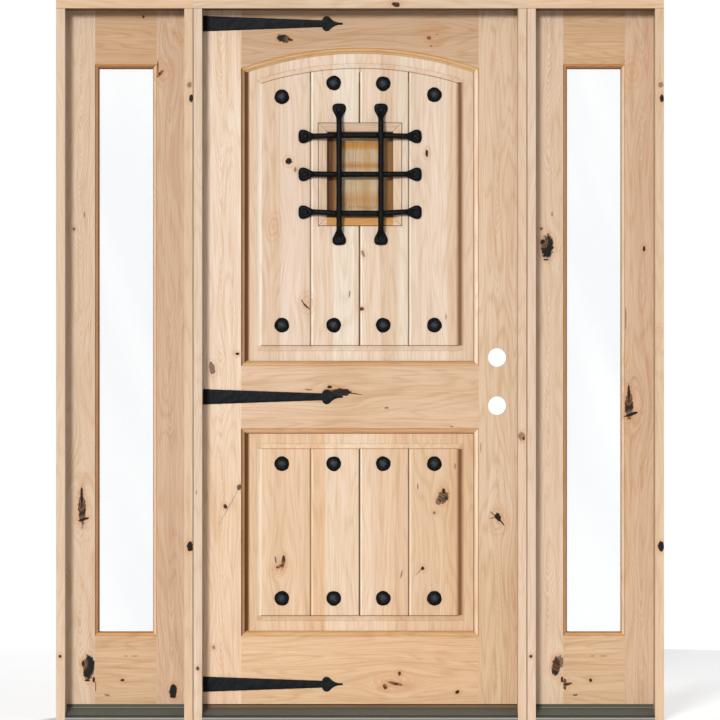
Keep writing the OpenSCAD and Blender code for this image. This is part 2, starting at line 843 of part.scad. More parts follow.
// The staple on the liner that takes the bolt's tip
module bolt_keeper() {
    inside = bolt_r + 0.8;
    color(iron) translate([0, 0, ring_z]) difference() {
        block([ring_w / 2 - liner_m + 2, panel_back_y, -inside - 3.5],
            [ring_w / 2 - 3, bolt_y + inside + 2.5, inside + 3.5]);
        block([ring_w / 2 - liner_m, panel_back_y - cut, -inside],
            [ring_w / 2, bolt_y + inside, inside]);
    }
}

head_jamb();
hinge_jamb();
strike_jamb();
sill_core();
sill_deck();
sill_cap();
weatherstrip();
frame_hinge_leaves();
hinge_pins();
frame_screws();
for (right = [0, 1]) {
    name = right == 1 ? "right_" : "left_";
    color(side_wood) on_side(right) side_head();
    color(side_wood) on_side(right) side_outer_jamb();
    color(side_wood) on_side(right) side_mull_jamb();
    color(bronze) on_side(right) side_sill();
    color(side_wood) on_side(right) sash_stile();
    color(side_wood) on_side(right) mirror([1, 0, 0]) sash_stile();
    color(side_wood) on_side(right) sash_rail(side_open_top, -1, side_top_h);
    color(side_wood) on_side(right) sash_rail(side_open_z, 1, side_bottom_h);
    color("#dfeef2", 0.4) on_side(right) glass_pair();
    color(steel) on_side(right) glass_spacer();
    color(side_wood) on_side(right) glazing_beads();
}
hinge_stile();
latch_stile();
top_rail();
lock_rail();
bottom_rail();
upper_panel();
lower_panel();
rail_dowels();
speakeasy_ring();
speakeasy_liner();
grille_uprights();
grille_crossbars();
grille_screws();
strap(0);  // strap_bottom
strap(1);  // strap_middle
strap(2);  // strap_top
strap_screws();
round_nails();
door_hinge_leaves();
door_screws();
sweep();
speakeasy_fixed_leaves();
bolt_keeper();
speakeasy_door();
speakeasy_leaves();
bolt_guides();
bolt();
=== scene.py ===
import math
import bpy
import numpy as np
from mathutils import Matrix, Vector


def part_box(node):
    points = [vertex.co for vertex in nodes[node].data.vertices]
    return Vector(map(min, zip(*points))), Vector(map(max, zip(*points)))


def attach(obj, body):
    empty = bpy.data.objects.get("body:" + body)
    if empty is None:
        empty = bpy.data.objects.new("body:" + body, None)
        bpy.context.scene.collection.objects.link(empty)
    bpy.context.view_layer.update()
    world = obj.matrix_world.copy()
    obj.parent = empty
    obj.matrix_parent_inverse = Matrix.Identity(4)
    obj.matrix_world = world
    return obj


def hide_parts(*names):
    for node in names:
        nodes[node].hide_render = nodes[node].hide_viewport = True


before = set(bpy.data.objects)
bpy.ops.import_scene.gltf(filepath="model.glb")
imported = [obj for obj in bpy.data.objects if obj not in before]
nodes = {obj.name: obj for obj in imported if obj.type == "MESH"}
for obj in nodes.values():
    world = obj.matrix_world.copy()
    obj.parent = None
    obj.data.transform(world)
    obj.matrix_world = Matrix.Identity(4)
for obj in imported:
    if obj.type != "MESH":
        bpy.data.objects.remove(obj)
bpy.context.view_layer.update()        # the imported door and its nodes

print("frame loaded:", len(nodes), "nodes")


# one socket that takes part in ordinary arithmetic
class Wire:
    def __init__(self, finish, socket):
        self.finish = finish
        self.socket = socket

    def sum(self, operation, first, second=None):
        return self.finish.node("ShaderNodeMath", {"operation": operation}, {0: first, 1: second})

    def __add__(self, other):
        return self.sum("ADD", self, other)

    def __radd__(self, other):
        return self.sum("ADD", other, self)

    def __sub__(self, other):
        return self.sum("SUBTRACT", self, other)

    def __rsub__(self, other):
        return self.sum("SUBTRACT", other, self)

    def __mul__(self, other):
        return self.sum("MULTIPLY", self, other)

    def __rmul__(self, other):
        return self.sum("MULTIPLY", other, self)

    def __truediv__(self, other):
        return self.sum("DIVIDE", self, other)

    def __rtruediv__(self, other):
        return self.sum("DIVIDE", other, self)

    def __pow__(self, other):
        return self.sum("POWER", self, other)

    def __neg__(self):
        return self.sum("MULTIPLY", self, -1.0)

    def __abs__(self):
        return self.sum("ABSOLUTE", self)

    def __lt__(self, other):
        return self.sum("LESS_THAN", self, other)

    def lower(self, other):
        return self.sum("MINIMUM", self, other)

    def sine(self):
        return self.sum("SINE", self)

    def root(self):
        return self.sum("SQRT", self)

    def exp(self):
        return self.sum("EXPONENT", self)


# a material, its main shader, and a short way to add any node to it
class Finish:
    def __init__(self, name, constants):
        self.material = bpy.data.materials.new(name)
        self.material.use_nodes = True
        self.tree = self.material.node_tree
        self.tree.nodes.clear()
        self.output = self.tree.nodes.new("ShaderNodeOutputMaterial")
        self.shader = self.tree.nodes.new("ShaderNodeBsdfPrincipled")
        self.tree.links.new(self.shader.outputs["BSDF"], self.output.inputs["Surface"])
        for key, value in constants.items():
            self.shader.inputs[key].default_value = value

    def feed(self, socket, value):
        if isinstance(value, Wire):
            self.tree.links.new(value.socket, socket)
        elif value is not None:
            socket.default_value = value

    # a node's type, its settings (first), then the values or links of its sockets
    def node(self, kind, settings, sockets, out=0):
        made = self.tree.nodes.new(kind)
        for key, value in settings.items():
            if key == "stops":
                fillRamp(made.color_ramp, value)
            else:
                setattr(made, key, value)
        for key, value in sockets.items():
            if value is not None:
                self.feed(made.inputs[key], value)
        return Wire(self, made.outputs[out])

    # where a point is on the door, in millimetres
    def place(self):
        spot = self.node("ShaderNodeTexCoord", {}, {}, "Object")
        inMm = self.node("ShaderNodeVectorMath", {"operation": "SCALE"}, {0: spot, "Scale": 1000.0})
        split = self.node("ShaderNodeSeparateXYZ", {}, {0: inMm})
        return [Wire(self, socket) for socket in split.socket.node.outputs]

    def noise(self, across, depth, along, detail=2.0, rough=0.5):
        spot = self.node("ShaderNodeCombineXYZ", {}, {0: across, 1: depth, 2: along})
        return self.node("ShaderNodeTexNoise", {"noise_dimensions": "3D"},
                         {"Vector": spot, "Scale": 1.0, "Detail": detail, "Roughness": rough}, 0)

    # 0 at the first edge, 1 at the second, with a soft start and end
    def soft(self, value, first, second):
        return self.node("ShaderNodeMapRange", {"interpolation_type": "SMOOTHSTEP"},
                         {"Value": value, "From Min": first, "From Max": second})

    def ramp(self, value, stops, low=0.0, high=1.0, style="LINEAR"):
        share = self.node("ShaderNodeMapRange", {}, {"Value": value, "From Min": low, "From Max": high})
        scaled = [((spot - low) / (high - low), colour) for spot, colour in stops]
        return self.node("ShaderNodeValToRGB", {"stops": (style, scaled)}, {0: share})

    def blend(self, amount, first, second, mode="MIX"):
        return self.node("ShaderNodeMix", {"data_type": "RGBA", "blend_type": mode},
                         {0: amount, 6: first, 7: second}, 2)

    def bump(self, height, strength, distance):
        values = {"Height": height, "Strength": strength, "Distance": distance}
        return self.node("ShaderNodeBump", {}, values)

    def connect(self, **links):
        names = {"colour": "Base Color", "rough": "Roughness", "metal": "Metallic",
                 "normal": "Normal", "alpha": "Alpha"}
        for key, value in links.items():
            self.feed(self.shader.inputs[names[key]], value)
        return self.material


def fillRamp(ramp, stops):
    style, spots = stops
    ramp.interpolation = style
    while len(ramp.elements) < len(spots):
        ramp.elements.new(0.5)
    for element, (spot, colour) in zip(ramp.elements, spots):
        element.position = min(max(spot, 0.0), 1.0)
        element.color = colour


# the middle of a node's front and half its size, in millimetres: x, z, half width, half height
def frontOf(nodeName):
    low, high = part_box(nodeName)
    return (500.0 * (low[0] + high[0]), 500.0 * (low[2] + high[2]),
            500.0 * (high[0] - low[0]), 500.0 * (high[2] - low[2]))


def paint(nodeName, material):
    mesh = nodes[nodeName].data
    mesh.materials.clear()
    mesh.materials.append(material)


light = {
    "gain": 1.41,            # how bright a white board facing the front comes out
    "keyStrength": 2.9,
    "keyAngle": 11.0,        # softness, degrees
    "keyFrom": (-0.25, -1.0, 0.26),
    "fillStrength": 0.35,
    "fillAngle": 40.0,
    "fillFrom": (0.8, -0.7, 0.5),
    "rearStrength": 2.3,     # only for the inside of the door
    "rearAngle": 16.0,
    "rearFrom": (0.5, 1.0, 0.6),
    "ambient": 0.42,
    "ambientTint": (0.96, 0.98, 1.0, 1.0),
    "backdrop": 1.02,        # just over white
}


# a colour as it should show, turned into the albedo that shows it in this light
def tone(red, green, blue):
    parts = []
    for value in (red, green, blue):
        part = value / 255.0             # the usual display curve, undone
        part = part / 12.92 if part < 0.04045 else ((part + 0.055) / 1.055) ** 2.4
        parts.append(part / light["gain"])
    return (*parts, 1.0)


# how dark a tone looks beside plain wood, turned into the share of the light it throws back
def shadeOf(shade):
    return (*(part ** 2.2 for part in shade), 1.0)


# metres: the camera stands square to the door, far off, and takes in this height
view = {"distance": 12.0, "height": 2.078, "middle": 1.0352, "clip": 60.0}
cameraData = bpy.data.cameras.new("frontCamera")
cameraData.lens = cameraData.sensor_width * view["distance"] / view["height"]
cameraData.clip_end = view["clip"]
camera = bpy.data.objects.new("frontCamera", cameraData)
camera.location = (0.0, -view["distance"], view["middle"])
camera.rotation_euler = (math.radians(90.0), 0.0, 0.0)
bpy.context.scene.collection.objects.link(camera)
bpy.context.scene.camera = camera
bpy.context.scene.view_settings.view_transform = "Standard"


def addSun(name, strength, angle, comesFrom):
    data = bpy.data.lights.new(name, "SUN")
    data.energy = strength
    data.angle = math.radians(angle)
    lamp = bpy.data.objects.new(name, data)
    lamp.rotation_euler = Vector(comesFrom).to_track_quat("Z", "Y").to_euler()
    bpy.context.scene.collection.objects.link(lamp)


addSun("keyLight", light["keyStrength"], light["keyAngle"], light["keyFrom"])
addSun("fillLight", light["fillStrength"], light["fillAngle"], light["fillFrom"])
addSun("rearLight", light["rearStrength"], light["rearAngle"], light["rearFrom"])

# white behind everything, and a softer level for what the room adds to the light
world = bpy.data.worlds.new("paleRoom")
world.use_nodes = True
bpy.context.scene.world = world
worldTree = world.node_tree
worldTree.nodes.clear()
skyOut = worldTree.nodes.new("ShaderNodeOutputWorld")
room = worldTree.nodes.new("ShaderNodeBackground")
room.inputs["Color"].default_value = light["ambientTint"]
room.inputs["Strength"].default_value = light["ambient"]
backdrop = worldTree.nodes.new("ShaderNodeBackground")
backdrop.inputs["Color"].default_value = (1.0, 1.0, 1.0, 1.0)
backdrop.inputs["Strength"].default_value = light["backdrop"]
rays = worldTree.nodes.new("ShaderNodeLightPath")
choose = worldTree.nodes.new("ShaderNodeMixShader")
worldTree.links.new(rays.outputs["Is Camera Ray"], choose.inputs[0])
worldTree.links.new(room.outputs[0], choose.inputs[1])
worldTree.links.new(backdrop.outputs[0], choose.inputs[2])
worldTree.links.new(choose.outputs[0], skyOut.inputs["Surface"])

floorDisc = {"radius": 3.1, "around": 96, "below": 0.0004, "dull": (0.93, 0.93, 0.925, 1.0),
             "clean": (0.95, 0.95, 0.945, 1.0)}


# a flat disc just under the sill: its rim is the radius times the cosine and the sine of the angle
def makeFloor():
    turn = np.linspace(0.0, 2.0 * np.pi, floorDisc["around"], endpoint=False)
    rim = np.stack([np.cos(turn), np.sin(turn), np.zeros_like(turn)], axis=1) * floorDisc["radius"]
    rim[:, 2] = -floorDisc["below"]
    mesh = bpy.data.meshes.new("paleFloor")
    mesh.from_pydata(rim.tolist(), [], [list(range(floorDisc["around"]))])
    thing = bpy.data.objects.new("paleFloor", mesh)
    bpy.context.scene.collection.objects.link(thing)
    floorPaint = Finish("paleFloorPaint", {"Roughness": 0.8, "Specular IOR Level": 0.2})
    x, y, z = floorPaint.place()
    patch = floorPaint.noise(x * 0.004, y * 0.004, z, 3.0)
    shade = floorPaint.blend(patch, floorDisc["dull"], floorDisc["clean"])
    mesh.materials.append(floorPaint.connect(colour=shade))


makeFloor()
print("camera, light and floor ready")


# knotty alder

alderLook = {
    "wander": 20.0,                # how far the grain drifts sideways, mm
    "dark": (0.74, 0.62, 0.47),    # tint of the darkest streak
    "meanDark": 0.32,              # how far the wood is towards it on average
    "broad": 1.0,                  # how much each layer of the figure darkens it
    "streak": 1.2,
    "line": 0.34,
    "hair": 1.25,
    "pore": 0.10,
    "lines": 120.0,                # growth lines, in radians over the range of their noise
    "bend": 1.6,                   # how far a streak bends them
    "pores": (0.60, 0.74),         # the noise at which a pore starts and is full
    "stripSway": 5.0,              # how far the edges of strips wander, mm
    "driftSway": 60.0,             # and how far the colours along a board do
    "streakRough": 0.16,
    "poreRough": 0.10,
    "sheen": 0.18,
    "roughness": 0.56,
    "bump": 0.16,
    "faceEnds": (32.0, 28.0),      # the painted shade and highlights of the moulded edges, and the joint lines, are on the outside face: they end at this depth, mm
    "fadeOver": 0.5,               # softness of where they end along a moulding, mm
    "cut": (0.45, 0.36, 0.28),     # the line of a mitre
}
knotLook = {
    "core": (10, 7, 5),
    "rim": (92, 54, 30),
    "halo": (204, 146, 98),
    "spread": 5.0,                 # how far the halo goes past the knot, mm
    "slim": 2.8,                   # narrower than this it is a crack, which has no halo or rim
    "swirl": 0.3,                  # shallower than this it is only a swirl in the grain
    "push": 0.8,                   # how hard it bends the grain
    "rings": 10.0,
}
chevronLook = {"sway": 16.0, "roundness": 40.0, "lift": 5.0, "ragged": 2.0}

# each layer of the grain: its steps per millimetre across, into and along the board, how fine and how
# rough it is, and how much of the board's seed shifts it each way
grainLayers = {
    "slow": ((0.009, 0.009, 0.0019), 2.0, 0.5, (1.0, 0.0, 0.7)),
    "broad": ((0.050, 0.05, 0.0010), 3.0, 0.5, (3.1, 0.0, 0.0)),
    "streak": ((0.20, 0.22, 0.0034), 3.0, 0.6, (0.0, 1.0, 0.0)),
    "hair": ((0.70, 0.9, 0.012), 3.0, 0.7, (1.0, 0.0, 0.0)),
    "rise": ((0.011, 0.02, 0.0012), 2.0, 0.5, (1.7, 0.0, -1.0)),
    "pore": ((2.3, 2.3, 0.10), 1.0, 0.5, (0.0, 1.0, 0.0)),
    "lift": ((0.02, 0.02, 0.011), 3.0, 0.5, (1.0, 0.0, 0.0)),
    "patch": ((0.012, 0.01, 0.006), 1.0, 0.5, (0.0, 0.0, 1.0)),
    "ragged": ((0.13, 0.1, 0.13), 4.0, 0.6, (0.0, 0.0, 1.0)),
}


def grainLayer(wood, layer, spot, seed):
    scale, detail, rough, shift = grainLayers[layer]
    moved = []
    for part, size, move in zip(spot, scale, shift):
        moved.append(part * size + seed * move if move else part * size)
    return wood.noise(*moved, detail, rough)


# a base colour for each stave: the ramp goes from one to the next over twice the step
def staves(spots, step):
    stops = [(spots[0][0], spots[0][1])]
    for (_, colour), (after, nextColour) in zip(spots, spots[1:]):
        stops.append((after - step, colour))
        stops.append((after + step, nextColour))
    stops.append((spots[-1][0] + 100.0, spots[-1][1]))
    return stops


# The grain bends round a wide knot: its sideways coordinate is pulled in by a bell curve of the
# distance, which is longer along the grain.
def pushAside(lined, knots, x, z, grain):
    for spotX, spotZ, wide, tall, *_ in knots:
        reach = max(wide, tall)
        if reach > 4.5 and min(wide, tall) > knotLook["slim"]:
            offX = x - spotX
            offZ = z - spotZ
            side, run = (offX, offZ) if grain == "z" else (offZ, offX)
            bell = (side * side) / (2.0 * reach) ** 2 + (run * run) / (4.5 * reach) ** 2
            lined = lined - side * knotLook["push"] * (-bell).exp()
    return lined


# Chevrons are sines of the height less a slope times the distance from the board's heart. The distance
# is the root of its square and a constant, which rounds the points.
def chevronTone(wood, across, y, along, slow, streak, chevron, seed):
    look = chevronLook
    heart, slope, period, strength = chevron
    spread = ((across - heart + slow * look["sway"]) ** 2.0 + look["roundness"]).root()
    lift = grainLayer(wood, "lift", (across, y, along), seed)
    wave = along - spread * slope + lift * (period * look["lift"])
    vee = (wave * (2.0 * math.pi / period) + streak * look["ragged"]).sine()
    near = wood.soft(grainLayer(wood, "patch", (across, y, along), seed), 0.32, 0.62)
    return vee * near * strength


# multiplies what shows by a ramp of shades, as far as the amount lets it
def shadeAlong(wood, amount, shown, value, stops):
    shades = [(spot, shadeOf(shade)) for spot, shade in stops]
    section = wood.ramp(value, shades, stops[0][0], stops[-1][0])
    return wood.blend(amount, shown, wood.blend(1.0, shown, section, "MULTIPLY"))


# how many times its own half widths a point is from the middle of an ellipse
def ellipseWay(sideways, upward, wide, tall):
    return ((sideways / wide) ** 2.0 + (upward / tall) ** 2.0).root()


# A knot is an ellipse with a ragged edge, turned, and bent by the square of the distance if it is a
# crack. Its halo is ringed by a sine of the distance, and its rim and core lie over that.
def addKnots(wood, shown, knots, spot, seed, sunk):
    look = knotLook
    x, _, z = spot
    ragged = grainLayer(wood, "ragged", spot, seed) - 0.5
    for spotX, spotZ, wide, tall, turn, curl, deep in knots:
        lean = math.radians(turn)
        offX = x - spotX
        offZ = z - spotZ
        sideways = offX * math.cos(lean) + offZ * math.sin(lean)
        upward = offZ * math.cos(lean) - offX * math.sin(lean)
        if curl:
            upward = upward - sideways * sideways * curl
        slim = min(wide, tall) < look["slim"]
        swirl = deep <= look["swirl"]
        near = ellipseWay(sideways, upward, wide, tall) + ragged * (1.0 if slim else 1.5) + sunk
        if not slim:
            haloWide = wide + look["spread"]
            haloTall = tall + look["spread"]
            far = ellipseWay(sideways, upward, haloWide, haloTall) + ragged * 0.7 + sunk
            rings = (far * look["rings"]).sine() * 0.24 + 0.34
            halo = wood.soft(far, 2.2, 0.7) * rings * max(deep, 0.75)
            shown = wood.blend(halo, shown, tone(*look["halo"]))
        if not slim and not swirl:
            shown = wood.blend(wood.soft(near, 1.6, 1.1) * deep * 0.75, shown, tone(*look["rim"]))
        if not swirl:
            shown = wood.blend(wood.soft(near, 1.4, 1.1) * deep, shown, tone(*look["core"]))
    return shown


# Alder sawn along one axis. Growth lines are contours of a slow noise that is stretched along the
# grain, and streaks, hairs and pores are finer noises on the same drifting coordinate. Over them go
# the painted shade and highlights of the moulded edges and the joint lines, and then the knots.
def alder(name, grain="z", colour=(226, 195, 165), seed=0.0, figure=1.0, strips=None, drift=None,
          knots=(), profiles=(), arcs=(), mitre=None, chevron=None, frameLine=None, step=0.7, faceY=None):
    look = alderLook
    wood = Finish(name, {"Specular IOR Level": look["sheen"], "IOR": 1.45})
    x, y, z = wood.place()
    if mitre:                # middle and half size of the frame: the grain turns at its mitres
        inX = mitre[2] - abs(x - mitre[0])
        inZ = mitre[3] - abs(z - mitre[1])
        upright = inX < inZ
        across = z + (x - z) * upright
        along = x + (z - x) * upright
    elif grain == "z":
        across, along = x, z
    else:
        across, along = z, x
    slow = grainLayer(wood, "slow", (across, y, along), seed) - 0.5
    lined = pushAside(across + slow * (2.0 * look["wander"]), knots, x, z, grain)
    spot = (lined, y, along)
    broad = grainLayer(wood, "broad", spot, seed)
    streak = grainLayer(wood, "streak", spot, seed)
    hair = grainLayer(wood, "hair", spot, seed)
    contour = (grainLayer(wood, "rise", spot, seed) * look["lines"] + streak * look["bend"]).sine()
    line = (contour * 0.5 + 0.5) ** 3.0
    pore = wood.soft(grainLayer(wood, "pore", spot, seed), *look["pores"])
    dark = (look["meanDark"] + (broad - 0.5) * (look["broad"] * figure)
            + (streak - 0.5) * (look["streak"] * figure) + (line - 0.3) * (look["line"] * figure)
            + (hair - 0.5) * look["hair"] + pore * look["pore"])
    if chevron:
        dark = dark + chevronTone(wood, across, y, along, slow, streak, chevron, seed)
    mean = [1.0 + (shade - 1.0) * look["meanDark"] for shade in look["dark"]]

    def base(shown):         # the ground under the figure, so that the mean of both is the colour asked
        picked = tone(*shown)
        return tuple(part / share for part, share in zip(picked, mean)) + (1.0,)

    if strips:
        stops = [(at, base(shown)) for at, shown in staves(strips, step)]
        ground = wood.ramp(across + slow * look["stripSway"], stops, stops[0][0], stops[-1][0])
    elif drift:
        stops = [(at, base(shown)) for at, shown in drift]
        moved = along + (broad - 0.5) * look["driftSway"]
        ground = wood.ramp(moved, stops, stops[0][0], stops[-1][0], "EASE")
    else:
        ground = base(colour)
    tint = wood.ramp(dark, [(0.0, (1.0, 1.0, 1.0, 1.0)), (1.0, (*look["dark"], 1.0))])
    shown = wood.blend(1.0, ground, tint, "MULTIPLY")
    front = wood.soft(y, *look["faceEnds"])
    fade = look["fadeOver"]
    for axis, low, high, stops in profiles:     # painted shade and highlights that follow the section of a moulded edge, and dark joint lines
        side, run = (x, z) if axis == "x" else (z, x)
        band = wood.soft(run, low - fade, low + fade) * wood.soft(run, high + fade, high - fade) * front
        shown = shadeAlong(wood, band, shown, side, stops)
    for middle, half, stops in arcs:            # the same around the arch, this far either side
        far = (x * x + (z - middle) ** 2.0).root()
        span = wood.soft(z, middle, middle + 10.0) * wood.soft(abs(x), half + 0.6, half - 0.6)
        shown = shadeAlong(wood, front * span, shown, far, stops)
    if frameLine:                               # lines around a mitred frame and on its mitres
        shown = shadeAlong(wood, 1.0, shown, inX.lower(inZ), frameLine)
        cut = wood.soft(abs(inX - inZ), 1.4, 0.5) * 0.5
        shown = wood.blend(cut, shown, wood.blend(1.0, shown, shadeOf(look["cut"]), "MULTIPLY"))
    # a knot ends below the face of a jamb, so that it doesn't run across its side
    sunk = wood.soft(y, faceY + 3.0, faceY + 20.0) * 3.0 if faceY is not None else 0.0
    shown = addKnots(wood, shown, knots, (x, y, z), seed, sunk)
    rough = look["roughness"] + (streak - 0.5) * look["streakRough"] + pore * look["poreRough"]
    height = hair * 0.5 + streak * 0.5 - pore * 0.7
    return wood.connect(colour=shown, rough=rough, normal=wood.bump(height, look["bump"], 0.0005))


plain = (1.0, 1.0, 1.0)
paintedShadeBrown = (0.42, 0.33, 0.26)
archMiddle = 910.96          # height of the point that the arch turns about

# where the moulded edges of the leaf run, in millimetres: up the stiles, and across between them
lowerSpan = (238, 837)
upperSpan = (1018, 1878)
openingSpan = (-343, 343)
lowerField = (297, 778)
upperField = (1077, 1838)
underArch = (1838, 1867)
fieldSpan = (-286, 286)

# how the painted shade and highlights run across each moulded edge, in millimetres from the leaf's middle
# or its foot: the left edges, facing away from the light, get painted shade
leftMould = [(-344.2, plain), (-343.0, paintedShadeBrown), (-341.0, (0.40, 0.31, 0.23)),
             (-339.6, (0.74, 0.62, 0.50)), (-335.6, (0.78, 0.67, 0.56)), (-334.0, (0.70, 0.58, 0.45)),
             (-332.6, (0.40, 0.30, 0.21)), (-330.6, (0.40, 0.30, 0.21)), (-329.2, (0.56, 0.43, 0.31)),
             (-327.0, (0.44, 0.34, 0.25))]
rimShadow = [(-329.0, (0.44, 0.31, 0.20)), (-324.2, (0.48, 0.36, 0.25)), (-321.4, (0.80, 0.72, 0.64)),
             (-318.0, plain)]
# the right edges face the light: a painted highlight between thin lines of painted shade
rightMould = [(327.0, (0.78, 0.67, 0.55)), (329.4, (0.80, 0.69, 0.58)), (330.4, (1.05, 1.05, 1.05)),
              (333.0, (1.13, 1.17, 1.22)), (339.0, (1.12, 1.15, 1.20)), (341.0, plain),
              (342.4, (0.82, 0.72, 0.60)), (343.4, (0.86, 0.77, 0.67)), (344.4, plain)]


def footMould(at):           # painted shade across a moulded edge that faces up, above the rail at this height
    return [(at - 1.2, plain), (at + 0.2, (0.89, 0.80, 0.68)), (at + 2.0, (1.00, 0.94, 0.85)),
            (at + 7.0, (0.96, 0.91, 0.81)), (at + 12.0, (0.91, 0.86, 0.76)),
            (at + 13.6, (0.88, 0.82, 0.70)), (at + 15.5, (0.95, 0.89, 0.79))]


def headMould(at):           # painted shade across a moulded edge that faces down, below the rail at this height
    return [(at - 15.5, (0.74, 0.60, 0.46)), (at - 13.4, (0.83, 0.70, 0.54)),
            (at - 11.5, (1.00, 0.92, 0.80)), (at - 4.0, (0.96, 0.89, 0.80)),
            (at - 1.6, (0.90, 0.80, 0.68)), (at + 0.4, (0.95, 0.88, 0.79)), (at + 1.6, plain)]


# painted highlight and shade across the moulded edge under the arch, by distance from the point it turns
# about
archMould = [(1010.0, (1.05, 1.02, 0.96)), (1012.0, (1.22, 1.25, 1.24)), (1014.4, (1.12, 1.09, 1.00)),
             (1016.6, (1.00, 0.92, 0.77)), (1019.0, (1.12, 1.08, 0.96)), (1022.0, (1.09, 1.04, 0.91)),
             (1024.6, (0.98, 0.91, 0.79)), (1026.4, (0.97, 0.92, 0.86)), (1027.6, plain)]


def grooveStops():           # painted shade on the left wall of each V groove of a panel's field, a painted highlight on its right wall
    stops = []
    for groove in (-141.95, 0.0, 141.95):
        stops += [(groove - 3.9, plain), (groove - 3.1, paintedShadeBrown), (groove - 0.6, paintedShadeBrown),
                  (groove + 0.6, (1.14, 1.18, 1.20)), (groove + 4.6, (1.16, 1.22, 1.28)),
                  (groove + 5.8, plain)]
    return stops


# painted shade and highlights of the grooves and of the upright bevels either side, the left bevel lit and
# the right in shade; a ramp holds 32 stops at most
def fieldSection():
    litBevel = [(-301.5, plain), (-298.5, (1.00, 1.03, 1.05)), (-292.0, (1.06, 1.14, 1.21)),
                (-286.5, (1.11, 1.21, 1.31)), (-283.8, (1.11, 1.21, 1.31)), (-282.4, (0.97, 0.95, 0.93)),
                (-280.8, plain)]
    shadedBevel = [(276.0, plain), (282.6, (0.79, 0.71, 0.65)), (287.0, (0.59, 0.49, 0.41)),
                 (290.5, (0.59, 0.49, 0.41)), (293.0, (0.72, 0.65, 0.58)), (296.5, (0.90, 0.87, 0.84)),
                 (300.5, plain)]
    return litBevel + grooveStops() + shadedBevel


def fieldFoot(at):           # painted highlight and a line of painted shade across the bevel along the foot of a field
    return [(at - 17.0, plain), (at - 15.8, (0.95, 0.91, 0.86)), (at - 13.0, (1.03, 1.03, 1.03)),
            (at - 2.0, plain), (at - 0.6, (0.70, 0.59, 0.48)), (at + 0.9, (0.72, 0.61, 0.50)),
            (at + 2.0, plain)]


# painted shade and highlight across the bevel along the head of a field
def fieldHead(at):
    return [(at - 1.6, plain), (at - 0.5, (0.84, 0.75, 0.65)), (at + 0.9, (0.88, 0.80, 0.71)),
            (at + 2.4, (1.05, 1.06, 1.07)), (at + 13.0, (1.04, 1.05, 1.05)),
            (at + 15.2, (0.94, 0.90, 0.85)), (at + 16.6, plain)]


# painted shade and highlight across the bevel round the arch of the upper field
fieldArch = [(965.4, plain), (966.4, (0.74, 0.64, 0.54)), (967.8, (0.78, 0.68, 0.58)),
             (969.4, (1.02, 1.02, 1.02)), (980.0, plain), (982.4, (0.93, 0.88, 0.82)), (984.0, plain)]

